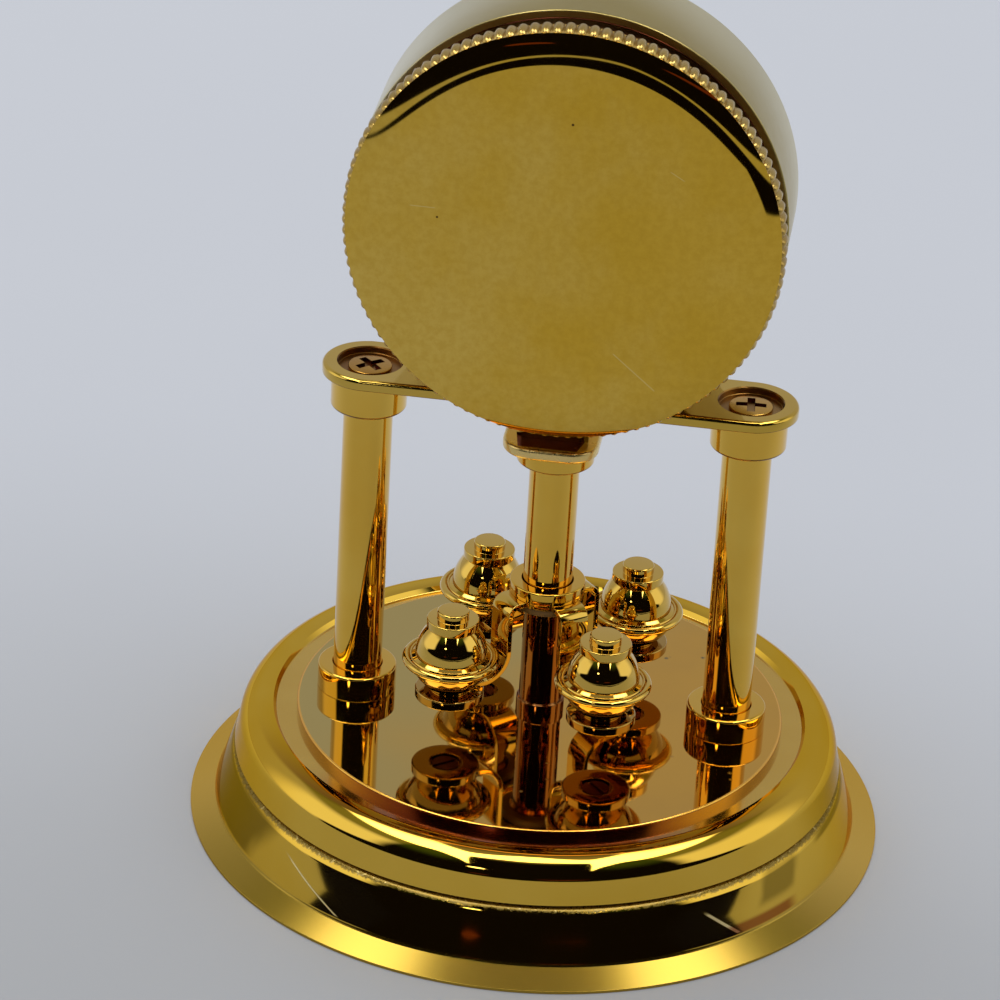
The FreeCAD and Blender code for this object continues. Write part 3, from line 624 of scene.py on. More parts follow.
# The material's name, its colour, the worn colour, the roughness, and what differs from plain brass.
metals = {
    "polished": ("polishedBrass", (0.76, 0.44, 0.036), (0.80, 0.49, 0.055), 0.05, {}),
    "rod": ("rodBrass", (0.80, 0.47, 0.045), (0.85, 0.54, 0.075), 0.055, {"brushed": (1, 1, 0.06)}),
    "post": ("postBrass", (0.80, 0.47, 0.045), (0.85, 0.54, 0.075), 0.055,
             {"brushed": (1, 1, 0.06), "marks": postMarks}),
    "weight": ("weightBrass", (0.70, 0.44, 0.06), (0.74, 0.48, 0.08), 0.035, {}),
    # The bowl finish: a darker copy of the weight's brass, painted shade under the weights' rims and on their
    # feet.
    "bowl": ("bowlShadeBrass", (0.44, 0.25, 0.035), (0.50, 0.29, 0.045), 0.035, {}),
    "bridge": ("bridgeBrass", (0.64, 0.41, 0.05), (0.68, 0.45, 0.075), 0.08, {"lacquer": 0.3}),
    # The boss finish is rougher, and painted paler as a painted sheen.
    "boss": ("bossSheenBrass", (0.84, 0.62, 0.23), (0.80, 0.57, 0.18), 0.3, {"lacquer": 0.2}),
    # The sink finish is darker, painted shade in the screw counterbores.
    "sink": ("sinkShadeBrass", (0.36, 0.20, 0.045), (0.24, 0.10, 0.02), 0.3, {"lacquer": 0.1}),
    # The seam finish is dark, painted shade under the collars, the ears, the cradle and the boss.
    "seam": ("undersideShadeBrass", (0.16, 0.07, 0.01), (0.22, 0.11, 0.02), 0.25, {}),
    "base": ("spunBrass", (0.72, 0.43, 0.038), (0.78, 0.50, 0.07), 0.04,
             {"patch": 35, "scratch": 0.01, "marks": baseMarks, "lacquer": 0.06, "edge": (0.9, 0.7, 0.4),
              "lean": bandLean}),
    "deck": ("deckBrass", (0.72, 0.38, 0.03), (0.64, 0.34, 0.034), 0.04,
             {"patch": 45, "speck": 0.9, "marks": deckMarks}),
    "cover": ("coverBrass", (0.75, 0.45, 0.032), (0.80, 0.50, 0.055), 0.035,
              {"patch": 40, "scratch": 0.03, "marks": coverMarks, "lacquer": 0.15}),
    "satin": ("satinBrass", (0.42, 0.32, 0.095), (0.48, 0.38, 0.13), 0.34,
              {"patch": 30, "brushed": (0.3, 6, 0.3), "marks": satinMarks, "lacquer": 0.2}),
    # The neck finish is dark, painted shade in the gap between the case and the cover.
    "neck": ("neckShadeBrass", (0.13, 0.03, 0.012), (0.08, 0.02, 0.01), 0.15, {"lacquer": 0.0}),
    # The groove and the skirt turn redder towards the front as a painted reflection, and the skirt is painted
    # darker than the deck's top as a painted dark reflection.
    "groove": ("grooveReflectionBrass", (0.70, 0.42, 0.05), (0.76, 0.49, 0.08), 0.16,
               {"marks": frontTint(0.32, 0.085, 0.010)}),
    "skirt": ("skirtReflectionBrass", (0.55, 0.30, 0.03), (0.62, 0.36, 0.05), 0.12,
              {"marks": frontTint(0.20, 0.045, 0.012)}),
    "milled": ("milledBrass", (0.54, 0.37, 0.11), (0.44, 0.28, 0.07), 0.3, {"lacquer": 0.05}),
    # The recess finish is dark, painted shade in the boss's pocket, the screws' cross recesses and on the
    # weight screws.
    "recess": ("recessShadeBrass", (0.16, 0.014, 0.012), (0.11, 0.01, 0.008), 0.3, {"lacquer": 0.1}),
    "screw": ("screwBrass", (0.66, 0.38, 0.07), (0.48, 0.24, 0.04), 0.16, {"lacquer": 0.1}),
    "steel": ("plainSteel", (0.52, 0.52, 0.52), (0.44, 0.44, 0.45), 0.3,
              {"brushed": (4, 0.3, 4), "lacquer": 0.0}),
    "nickel": ("nickelPlate", (0.72, 0.72, 0.70), (0.66, 0.66, 0.65), 0.12, {"lacquer": 0.0}),
}
plastics = {
    "rubber": ("gasketRubber", ((0.02, 0.02, 0.02), 0.6)),
    "dial": ("dialEnamel", ((0.82, 0.81, 0.76), 0.35, 2500, 0.02)),
    "ink": ("dialInk", ((0.015, 0.015, 0.015), 0.4, 2500)),
    "hand": ("handEnamel", ((0.012, 0.012, 0.014), 0.22, 2500)),
    "holder": ("holderPlastic", ((0.72, 0.71, 0.66), 0.45)),
    "movement": ("movementPlastic", ((0.035, 0.035, 0.036), 0.4)),
    "washer": ("washerNylon", ((0.14, 0.07, 0.012), 0.4)),
}
finishes = {"felt": makeMaterial("pressedFelt", feltRecipe),
            "glass": makeMaterial("crystalGlass", glassRecipe)}
for key, (label, base, worn, rough, more) in metals.items():
    finishes[key] = makeMaterial(label, brass(base, worn, rough, **more))
for key, (label, look) in plastics.items():
    finishes[key] = makeMaterial(label, plastic(*look))
print("finishes made")


# Base

baseSizes = {
    "under": 8.3, "inside": [(23.5, 8.3), (24.3, 7.6), (24.62, 6.02), (24.9, 5.1), (25.7, 1.6)],
    "rimLift": 0.15,
    "rim": 28.2, "outer": 29.0, "edge": 0.25, "lip": (26.96, 1.22), "lipTop": (26.84, 1.45),
    "band": [(16.6, 18.5, 110), (18.5, 30, 2.0), (30, 74, 0.95)], "wallFoot": (25.42, 6.02),
    "wallTop": (25.05, 7.9),
    "bead": [(13, 50, 2.55), (50, 59, 3.1), (59, 90, 0.95), (90, 110, 3)],
    "groove": 21.9, "grooveRound": 0.12, "floor": 9.1, "floorEdge": 20.0, "tintEdge": 22.06, "tintLow": 9.0,
}


def makeBase():
    d = baseSizes
    band = bulge(d["lipTop"], d["band"])
    wallFoot, wallTop = Vector(d["wallFoot"]), Vector(d["wallTop"])
    bead = bulge(wallTop, d["bead"])
    seam = Vector((band[-1].x - 0.05, (band[-1].y + wallFoot.y) / 2))
    foot = rounded([(d["rim"], 0), (d["outer"], 0, 0.06), (d["outer"], d["edge"], 0.05), d["lip"],
                    d["lipTop"]])
    inside = [(0, d["under"]), *d["inside"], (d["rim"], d["rimLift"])]
    corner = (d["groove"] + d["grooveRound"], d["floor"], d["grooveRound"])
    edge = rounded([tuple(bead[-1]), corner, (d["floorEdge"], d["floor"])])[1:]
    outline = inside + foot[:-1] + band + [seam, wallFoot] + bead + edge + [(0, d["floor"]), (0, d["under"])]
    base = turned("baseBody", outline, steps=256)
    # The groove's finish turns redder towards the front as a painted reflection.
    tinted(base, "base", "groove", lambda spot: fromAxis(spot) < d["tintEdge"] and spot.z > d["tintLow"])
    settle(base, None, "stand", "polished_brass", "base_shell", sharp=24)


deckSizes = {"foot": 9.1, "skirt": 20.32, "top": 9.85, "edge": 0.16}


def makeDeck():
    d = deckSizes
    deck = turned("deckPlate", section(0, d["skirt"], d["foot"], d["top"], (0, 0, d["edge"], 0)), steps=256)
    # The skirt is painted darker and, towards the front, redder, as painted reflections.
    tinted(deck, "deck", "skirt", lambda spot: fromAxis(spot) > d["skirt"] - 0.02)
    settle(deck, None, "stand", "polished_brass", "deck_plate")


feltSizes = {"radius": 25.4, "under": 0.05, "top": 0.9, "round": 0.35, "topRound": 0.1}


def makeFelt():
    d = feltSizes
    outline = section(0, d["radius"], d["under"], d["top"], (0, d["round"], d["topRound"], 0))
    pad = turned("feltPad", outline, steps=128)
    settle(pad, "felt", "stand", "felt", "base_felt_pad")


makeBase()
makeDeck()
makeFelt()
print("base made")


# Pillars, post and collars

columnSizes = {
    "offset": 15.57, "pillar": 2.03, "post": 2.05, "foot": 9.85, "pillarTop": 39.1, "postTop": 34.5,
    "postFoot": 2.02, "postFootTop": 10.8, "postLow": 1.82, "postStep": 19.5, "baseCollar": 3.3,
    "baseCollarTop": 12.05, "topCollar": 3.12, "topCollarFoot": 36.1, "centreCollar": 3.2,
    # the seams: how high the painted shade under the top collars and the centre collar reaches
    "centreCollarFoot": 33.0, "bore": 2.07, "edge": 0.05, "seam": 0.24, "centreUnderShade": 0.18,
}


def collar(name, radius, low, high, lowRound, highRound):
    bore = columnSizes["bore"]
    outline = rounded([(bore, low), (radius, low, lowRound), (radius, high, highRound),
                       (bore + 0.06, high, 0.04), (bore, high - 0.08)], closed=True)
    return turned(name, outline, steps=128)


def makeColumns():
    d = columnSizes
    pillar = turned("pillar", section(0, d["pillar"], d["foot"], d["pillarTop"], (0, 0, d["edge"], 0)),
                    steps=128)
    baseCollar = collar("baseCollar", d["baseCollar"], d["foot"], d["baseCollarTop"], d["edge"], 0.22)
    topCollar = collar("topCollar", d["topCollar"], d["topCollarFoot"], d["pillarTop"], 0.28, d["edge"])
    for side, way in (("left", -1), ("right", 1)):
        move = (d["offset"] * way, 0, 0)
        for piece, kind, finish in ((pillar, "pillar", "rod"), (baseCollar, "base_collar", "polished"),
                                    (topCollar, "top_collar", "rod")):
            part = copied(piece, side + kind.title().replace("_", ""), move=move)
            # The underside of each top collar is painted dark as painted shade.
            underShadeTop = d["topCollarFoot"] + d["seam"] if kind == "top_collar" else 0
            tinted(part, finish, "seam", lambda spot: spot.z < underShadeTop)
            settle(part, None, "stand", "polished_brass", side + "_" + kind)
    for piece in (pillar, baseCollar, topCollar):
        bpy.data.objects.remove(piece)
    outline = rounded([(0, d["foot"]), (d["postFoot"], d["foot"]), (d["postFoot"], d["postFootTop"], 0.12),
                       (d["postLow"], d["postFootTop"], d["edge"]), (d["postLow"], d["postStep"] - 0.2),
                       (d["post"], d["postStep"]), (d["post"], d["postTop"], d["edge"]), (0, d["postTop"])])
    post = turned("centrePost", outline, steps=128)
    settle(post, "post", "stand", "polished_brass", "centre_post")
    centre = collar("centreTopCollar", d["centreCollar"], d["centreCollarFoot"], d["postTop"], 0.2, d["edge"])
    # The centre collar's underside is painted dark as painted shade.
    tinted(centre, "rod", "seam", lambda spot: spot.z < d["centreCollarFoot"] + d["centreUnderShade"])
    settle(centre, None, "stand", "polished_brass", "centre_top_collar")


makeColumns()
print("columns made")


# Bridge and its screws

bridgeSizes = {
    "offset": 15.57, "ear": 3.9, "low": 39.1, "top": 40.05, "sink": 2.65, "sinkFloor": 39.45,
    "topRound": 0.34, "drum": 17.49, "cradle": 18.39, "cradleHalf": 9.1, "cradleBack": -3.9,
    "cradleFront": 3.0, "coverRoom": 17.93, "bossLeft": -3.65, "bossRight": 4.2, "bossBack": -3.9,
    "bossFront": 3.92, "bossFoot": 34.5, "bossTop": 35.5, "bossCorner": 2.5,
    "pedestal": [(-2.75, -3.2, 34.9), (2.75, 1.5, 37.6)],
    # a pocket from (left, back) to (right, front) that narrows towards its front corners
    "pocketFloor": 35.33, "pocket": [(-2.62, 0.9), (3.2, 3.42)], "pocketFront": (-2.02, 2.78),
}


def makeBridge():
    d = bridgeSizes
    freshStart()
    bpy.ops.mesh.primitive_circle_add(vertices=128, radius=d["ear"] * mm, fill_type="NGON",
                                      location=(0, 0, d["low"] * mm))
    plate = named("bridgePlate")
    for way in (-1, 1):  # the two halves of the disc move apart and become the ears
        pick(plate, "VERT", lambda spot: spot.x * way > hair)
        shift((way * d["offset"], 0, 0))
    selectAll()
    extrude((0, 0, d["top"] - d["low"]))
    faceOutwards()
    bevelled(plate, lambda spot: spot.z > d["top"] - hair, d["topRound"], 7)
    bevelled(plate, lambda spot: spot.z < d["low"] + hair, 0.07, 3)
    cradle = drumTurned("cradle", [(d["drum"] - 0.4, d["cradleBack"]), (d["cradle"], d["cradleBack"]),
                                   (d["cradle"], d["cradleFront"]), (d["drum"] - 0.4, d["cradleFront"]),
                                   (d["drum"] - 0.4, d["cradleBack"])])
    keep = block("cradlePart", (-d["cradleHalf"], -5, 34), (d["cradleHalf"], 4, d["top"] - 0.3))
    carve(cradle, keep, "INTERSECT")
    carve(plate, cradle, "UNION")
    carve(plate, block("pedestal", *d["pedestal"]), "UNION")
    room = drumTurned("drumRoom", [(0, -6), (d["drum"], -6), (d["drum"], d["cradleFront"]),
                                   (d["coverRoom"], d["cradleFront"]), (d["coverRoom"], 8), (0, 8)])
    carve(plate, room)
    for way in (-1, 1):
        outline = rounded([(0, d["sinkFloor"]), (d["sink"], d["sinkFloor"], 0.08),
                           (d["sink"], d["top"] - 0.1), (d["sink"] + 0.1, d["top"] + 0.02),
                           (d["sink"] + 0.1, 41), (0, 41)])
        carve(plate, turned("sink", outline, centre=(way * d["offset"], 0, 0), steps=96))
    boss = block("boss", (d["bossLeft"], d["bossBack"], d["bossFoot"]),
                 (d["bossRight"], d["bossFront"], d["bossTop"]))
    pick(boss, "EDGE", lambda spot: False)  # nothing yet
    objectMode()
    for edge in boss.data.edges:  # the four upright edges
        ends = [boss.data.vertices[index].co for index in edge.vertices]
        edge.select = abs(ends[0].z - ends[1].z) > 0.5 * mm
    editMode()
    bpy.ops.mesh.bevel(offset=d["bossCorner"] * mm, segments=12, affect="EDGES")
    objectMode()
    bevelled(boss, lambda spot: spot.z > d["bossTop"] - hair, 0.3, 6)
    bevelled(boss, lambda spot: spot.z < d["bossFoot"] + hair, 0.3, 5)
    (left, back), (right, front) = d["pocket"]
    pocket = block("pocket", (left, back, d["pocketFloor"]), (right, front, d["bossTop"] + 1))
    for way, edge, corner in ((1, right, d["pocketFront"][1]), (-1, left, d["pocketFront"][0])):
        pick(pocket, "VERT", lambda spot: spot.y > front - 0.01 and spot.x * way > 0)
        shift((corner - edge, 0, 0))
        objectMode()
    carve(boss, pocket)
    whole = joined("bridgeCasting", [plate, boss])

    def inPocket(spot):
        return (left - 0.1 < spot.x < right + 0.1 and 0.5 < spot.y < front + 0.02
                and d["pocketFloor"] - 0.02 < spot.z < d["bossTop"] - 0.05)

    def inSink(spot):
        return (math.hypot(abs(spot.x) - d["offset"], spot.y) < d["sink"] + 0.08
                and d["low"] + 0.1 < spot.z < d["top"] - 0.04)

    def onBoss(spot):
        return d["bossFoot"] + 0.06 < spot.z < d["bossTop"] + 0.01

    def underEdge(spot):
        ear = d["low"] - 0.01 < spot.z < d["low"] + 0.06 and abs(spot.x) > d["cradleHalf"]
        return ear or spot.z < d["bossFoot"] + 0.06

    # The pocket, the counterbores and the undersides of the ears and of all below the boss's foot are painted
    # dark as painted shade, and the boss is painted paler as a painted sheen.
    tinted(whole, "bridge", "recess", inPocket, "sink", inSink, "boss", onBoss, "seam", underEdge)
    settle(whole, None, "stand", "polished_brass", "bridge")


screwSizes = {"head": 1.8, "tall": 0.26, "crown": 0.1, "armHalf": 0.4, "armLong": 1.42, "deep": 0.42,
              "shank": 0.97, "point": 0.8, "tip": 34.9, "recess": 1.3, "turns": (4, 42)}


def crossScrew(floor):
    # A cross-recess screw that stands on the origin's upright axis, its head on the floor.
    d = screwSizes
    head, top = d["head"], floor + d["tall"]
    outline = rounded([(0, d["tip"]), (d["point"], d["tip"]), (d["shank"], d["tip"] + 0.3),
                       (d["shank"], floor), (head, floor), (head, top, 0.1),
                       (head * 0.6, top + d["crown"] * 0.6), (0, top + d["crown"])])
    screw = turned("bridgeScrew", outline, steps=64)
    low = top - d["deep"]
    arms = ((d["armLong"], d["armHalf"], (0.8, 0.7, 1)), (d["armHalf"], d["armLong"], (0.7, 0.8, 1)))
    for wide, deep, narrow in arms:
        bar = block("bar", (-wide, -deep, low), (wide, deep, top + 1))
        pick(bar, "FACE", lambda spot: spot.z < low + hair)
        bpy.ops.transform.resize(value=narrow)
        objectMode()
        carve(screw, bar)

    def inRecess(spot):
        return fromAxis(spot) < d["recess"] and low - 0.01 < spot.z < top - 0.02

    # The cross recess is painted dark as painted shade.
    tinted(screw, "screw", "recess", inRecess)
    return screw


def makeScrews():
    d = bridgeSizes
    screw = crossScrew(d["sinkFloor"])
    left, right = (math.radians(turn) for turn in screwSizes["turns"])
    pair = [copied(screw, "bridgeScrewLeft", left, (-d["offset"], 0, 0)),
            copied(screw, "bridgeScrewRight", right, (d["offset"], 0, 0))]
    bpy.data.objects.remove(screw)
    settle(joined("bridgeScrews", pair), None, "stand", "polished_brass", "bridge_screws")


makeBridge()
makeScrews()
print("bridge made")


# Drum

caseSizes = {
    "bore": 16.0, "front": -6.2, "body": 17.46, "bodyBack": 1.01, "neck": 16.8, "back": 3.6,
    "bezelEdge": -7.77, "bezelFront": -8.55, "crown": 16.5, "opening": 14.6, "lip": -7.35,
    "crystal": 15.25, "crystalFront": -6.75, "crystalBack": -6.05, "gasketBore": 14.7, "gasketBack": -5.75,
    "flange": 15.95, "flangeBore": 14.9, "dialFront": -4.0, "paneEdge": 0.06,
}


def makeCase():
    d = caseSizes
    outline = rounded([(d["bore"], d["front"]), (d["body"], d["front"]), (d["body"], d["bodyBack"], 0.14),
                       (d["neck"], d["bodyBack"] - 0.02, 0.05), (d["neck"], d["back"], 0.06),
                       (d["bore"], d["back"])],
                      closed=True)
    case = drumTurned("caseTube", outline)
    # The neck between the body and the cover is painted dark as painted shade.
    tinted(case, "satin", "neck", lambda spot: fromDrum(spot) < d["neck"] + 0.1)
    settle(case, None, "stand", "satin_brass", "case_shell")
    outline = rounded([(d["crystal"], d["front"]), (d["body"], d["front"]), (d["body"], d["bezelEdge"], 0.3),
                       (d["crown"] + 0.35, d["bezelFront"] + 0.12, 0.3),
                       (d["crown"] - 0.4, d["bezelFront"], 0.3),
                       (d["opening"] + 0.3, d["lip"] - 0.3, 0.2), (d["opening"], d["lip"], 0.08),
                       (d["opening"], d["crystalFront"]), (d["crystal"], d["crystalFront"])], closed=True)
    bezel = drumTurned("frontBezel", outline)
    tinted(bezel, "polished", "satin", lambda spot: fromDrum(spot) > d["body"] - 0.12)
    settle(bezel, None, "stand", "polished_brass", "front_bezel")


def makeGlazing():
    d = caseSizes
    edge = d["paneEdge"]
    outline = section(0, d["crystal"] - 0.02, d["crystalBack"], d["crystalFront"], (0, edge, edge, 0))
    settle(drumTurned("crystalPane", outline, 160), "glass", "stand", "glass", "crystal")
    outline = section(d["gasketBore"], d["crystal"], d["gasketBack"], d["crystalBack"], [edge] * 4)
    settle(drumTurned("crystalSeal", outline, 160), "rubber", "stand", "rubber", "crystal_gasket")
    outline = rounded([(d["flangeBore"] - 0.35, d["dialFront"]), (d["flange"], d["dialFront"]),
                       (d["flange"], d["gasketBack"]), (d["flangeBore"], d["gasketBack"], 0.05)], closed=True)
    settle(drumTurned("innerFlange", outline, 160), "dial", "stand", "dial_white", "inner_flange")


coverSizes = {
    "flat": 14.22, "edge": 17.3, "lean": 19.0, "steps": 24, "ringBack": 5.5, "ringFront": 3.64,
    "spigot": 15.95, "spigotFront": 1.95, "bore": 15.3, "wall": 0.7,
    "teeth": 116, "perTooth": 8, "tip": 17.66, "root": 17.3, "start": 0.98,
    # how the milled ring swells out and in again along its length: (share of the length, growth)
    "sweep": [(0.0, 1.006), (0.08, 1.009), (0.2, 1.0052), (0.5, 1.0), (0.68, 0.9985), (0.82, 0.996),
              (0.92, 0.9925), (1.0, 0.984)],
}


def makeCover():
    d = coverSizes
    lean = math.radians(d["lean"])
    radius = (d["edge"] - d["flat"]) / math.sin(lean)
    face = d["ringBack"] + radius * (1 - math.cos(lean))
    shoulder = []
    for step in range(d["steps"] + 1):
        angle = math.radians(d["lean"] * step / d["steps"])
        shoulder.append((d["flat"] + radius * math.sin(angle), face - radius * (1 - math.cos(angle))))
    inside = [(0, face - d["wall"]), (14.2, face - d["wall"]), (15.0, 4.9), (d["bore"], d["ringFront"] + 0.6)]
    spigot = rounded([(d["bore"], d["spigotFront"], 0.1), (d["spigot"], d["spigotFront"], 0.12),
                      (d["spigot"], d["ringFront"]), (shoulder[-1][0], d["ringFront"])])
    outline = inside + spigot + shoulder[::-1] + [(d["flat"] * 0.97, face), (0, face)]
    cap = drumTurned("coverCap", outline)
    clad(cap, "cover")
    freshStart()
    perTooth = d["perTooth"]
    bpy.ops.mesh.primitive_circle_add(vertices=d["teeth"] * perTooth, radius=d["root"] * mm,
                                      location=(0, d["ringFront"] * mm, drumHeight * mm),
                                      rotation=(math.radians(90), 0, 0))
    ring = named("milledRing")
    applyPlace()
    clad(ring, "milled")

    def phase(spot):
        return round(math.atan2(spot.x, spot.z - drumHeight) / math.tau * d["teeth"] * perTooth) % perTooth

    for step in range(1, perTooth):  # each tooth swells and sinks over its eight points
        swell = math.sin(math.pi * step / perTooth)
        grow = 1 + (d["tip"] - d["root"]) * swell ** 0.75 / d["root"]
        pick(ring, "VERT", lambda spot: phase(spot) == step)
        bpy.ops.transform.resize(value=(grow, 1, grow),
                                 center_override=(0, d["ringFront"] * mm, drumHeight * mm))
        objectMode()
    activate(ring)
    editMode()
    selectAll()
    length = d["ringBack"] - d["ringFront"]
    centre = Vector((0, 0, drumHeight * mm))
    bpy.ops.transform.resize(value=(d["start"], 1, d["start"]), center_override=centre)
    reached = 0
    for share, grow in d["sweep"]:
        extrude((0, (share - reached) * length, 0))
        reached = share
        bpy.ops.transform.resize(value=(grow, 1, grow), center_override=centre)
    faceOutwards()
    cover = joined("backCover", [cap, ring])
    settle(cover, None, "cover", "polished_brass", "back_cover", sharp=40)


makeCase()
makeGlazing()
makeCover()
print("drum made")


# Dial, date ring and hands

dialSizes = {
    "front": -4.0, "wall": 0.4, "radius": 15.9, "hole": 1.1, "numeralRadius": 11.5, "numeralTall": 2.9,
    "track": 14.1, "dotRadius": 0.16, "window": 11.6, "windowHalf": 1.2, "windowTall": 0.85, "ink": 0.012,
    "windowDeep": (-5, -3), "frameDeep": 0.08, "frameWide": 0.22, "bigDot": 1.7,
    "dateRadius": 11.6, "dateTall": 1.25, "dateFront": -3.5, "dateOuter": 13.2, "dateBore": 9.9,
    "dateWall": 0.2,
}


def lettering(text, tall, across, up, front, turn=0.0):
    # Figures that stand on a face which looks towards the dial side.
    freshStart()
    bpy.ops.object.text_add()
    words = named("figure")
    words.data.body = text
    words.data.size = tall * mm
    words.data.align_x = "CENTER"
    words.data.align_y = "CENTER"
    words.data.extrude = dialSizes["ink"] * mm / 2
    words.data.resolution_u = 4
    bpy.ops.object.convert(target="MESH")
    words = bpy.context.object
    words.rotation_euler = (math.radians(90), turn, 0)
    words.location = Vector((across, front - dialSizes["ink"] / 2, up)) * mm
    applyPlace()
    return words


def makeDial():
    d = dialSizes

    def windowBlock(name, front, back, more=0):
        # A block about the date window.
        wide, tall = d["windowHalf"] + more, d["windowTall"] + more
        return block(name, (d["window"] - wide, front, drumHeight - tall),
                     (d["window"] + wide, back, drumHeight + tall))

    outline = section(d["hole"], d["radius"], d["front"] + d["wall"], d["front"], (0, 0, 0.04, 0))
    plate = drumTurned("dialPlate", outline, 160)
    carve(plate, windowBlock("window", *d["windowDeep"]))
    clad(plate, "dial")
    marks = []
    for hour in range(1, 13):
        angle = math.radians(hour * 30)
        if hour != 3:
            marks.append(lettering(str(hour), d["numeralTall"], d["numeralRadius"] * math.sin(angle),
                                   drumHeight + d["numeralRadius"] * math.cos(angle), d["front"]))
    dot = drumTurned("dot", [(0, d["front"]), (d["dotRadius"], d["front"]),
                             (d["dotRadius"], d["front"] - d["ink"]),
                             (0, d["front"] - d["ink"])], 10)
    for minute in range(60):
        angle = math.radians(minute * 6)
        size = d["bigDot"] if minute % 5 == 0 else 1.0
        activate(dot)
        bpy.ops.object.duplicate(linked=False)
        mark = named("minuteDot")
        mark.scale = (size, 1, size)
        mark.location = (d["track"] * math.sin(angle) * mm, 0,
                         (d["track"] * math.cos(angle) + drumHeight * (1 - size)) * mm)
        applyPlace()
        marks.append(mark)
    bpy.data.objects.remove(dot)
    surround = windowBlock("surround", d["front"] - d["frameDeep"], d["front"], d["frameWide"])
    carve(surround, windowBlock("inner", *d["windowDeep"]))
    marks.append(surround)
    printed = joined("dialMarks", marks)
    clad(printed, "ink")
    settle(joined("dialFace", [plate, printed]), None, "stand", "dial_white", "dial")


def makeDateRing():
    d = dialSizes
    outline = section(d["dateBore"], d["dateOuter"], d["dateFront"] + d["dateWall"], d["dateFront"])
    ring = drumTurned("ring", outline, 124)
    clad(ring, "dial")
    figures = []
    for day in range(1, 32):
        angle = math.tau * (day - 1) / 31
        figures.append(lettering(str(day), d["dateTall"], d["dateRadius"] * math.cos(angle),
                                 drumHeight + d["dateRadius"] * math.sin(angle), d["dateFront"], -angle))
    printed = joined("dateFigures", figures)
    clad(printed, "ink")
    settle(joined("dateRing", [ring, printed]), None, "calendar", "dial_white", "date_ring")


handSizes = {
    "hour": {"length": 7.6, "front": -4.5, "wall": 0.2, "wide": 0.62, "hole": 0.95, "eye": 1.3, "tail": 2.4},
    "minute": {"length": 11.6, "front": -5.05, "wall": 0.2, "wide": 0.48, "hole": 0.54, "eye": 1.3,
               "tail": 2.4},
}


def makeHand(name, sizes, body, node):
    # A leaf hand with a raised line down its middle, cut from a grid of two columns.
    length, tail, wide, front = (sizes[key] for key in ("length", "tail", "wide", "front"))
    low = front + sizes["wall"]
    freshStart()
    bpy.ops.mesh.primitive_grid_add(x_subdivisions=2, y_subdivisions=12, size=2 * mm,
                                    location=(0, low * mm, drumHeight * mm),
                                    rotation=(math.radians(90), 0, 0))
    blade = named(name)
    applyPlace()
    for vertex in blade.data.vertices:
        share = (vertex.co.z / mm - drumHeight + 1) / 2
        up = -tail + (length + tail) * share
        if up < 0:
            half = wide * (0.45 + 0.55 * (up + tail) / tail)
        else:
            half = wide * (1 + 0.35 * math.sin(math.pi * up / length)) * (1 - (up / length) ** 3)
        vertex.co.x = math.copysign(half, vertex.co.x) * mm if abs(vertex.co.x) > 0.1 * mm else 0
        vertex.co.z = (drumHeight + up) * mm
    activate(blade)
    editMode()
    selectAll()
    extrude((0, -sizes["wall"] * 0.55, 0))
    objectMode()
    pick(blade, "VERT", lambda spot: abs(spot.x) < hair and spot.y < front + sizes["wall"] * 0.5)
    shift((0, -sizes["wall"] * 0.4, 0))
    selectAll()
    mergeClose()
    faceOutwards()
    hole = sizes["hole"]
    eye = drumTurned("eye", section(hole, sizes["eye"], low, front, (0, 0, 0.05, 0)), 64)
    carve(blade, drumTurned("bore", [(0, low + 1), (hole, low + 1), (hole, low - 2), (0, low - 2)], 64))
    settle(joined(name, [blade, eye]), "hand", body, "hand_black", node, sharp=20)


makeDial()
makeDateRing()
makeHand("hourHand", handSizes["hour"], "hour_work", "hour_hand")
makeHand("minuteHand", handSizes["minute"], "minute_work", "minute_hand")
print("dial made")


# Pendulum

pendulumSizes = {
    "turn": 39.6, "orbit": 9.06, "hub": 3.15, "hubBore": 2.14, "hubFoot": 20.85, "hubTop": 21.95,
    "armWall": 0.45, "armHalf": 1.3, "reach": 4.45, "armLow": 13.9, "pad": 1.7,
    "topBend": 1.1, "lowBend": 2.5, "edge": 0.06,
}
weightSizes = {
    "foot": 14.35, "bowlFoot": 2.15, "bowl": 3.25, "rimLow": 16.25, "rimHigh": 16.95, "rim": 4.02,
    "ridge": 3.4, "dome": 3.0, "domeTall": 3.5, "domeCentre": 16.95, "step": 2.15, "stepTop": 20.38,
    "button": 1.32, "buttonTop": 21.1, "footDisc": 2.85, "footUnder": 13.05, "footTop": 13.9, "footSink": 1.4,
    "sinkTop": 13.5,
}


def arcPoints(centre, radius, first, last, steps):
    angles = [math.radians(first + (last - first) * step / steps) for step in range(steps + 1)]
    return [Vector((centre[0] + radius * math.cos(angle), centre[1] + radius * math.sin(angle)))
            for angle in angles]


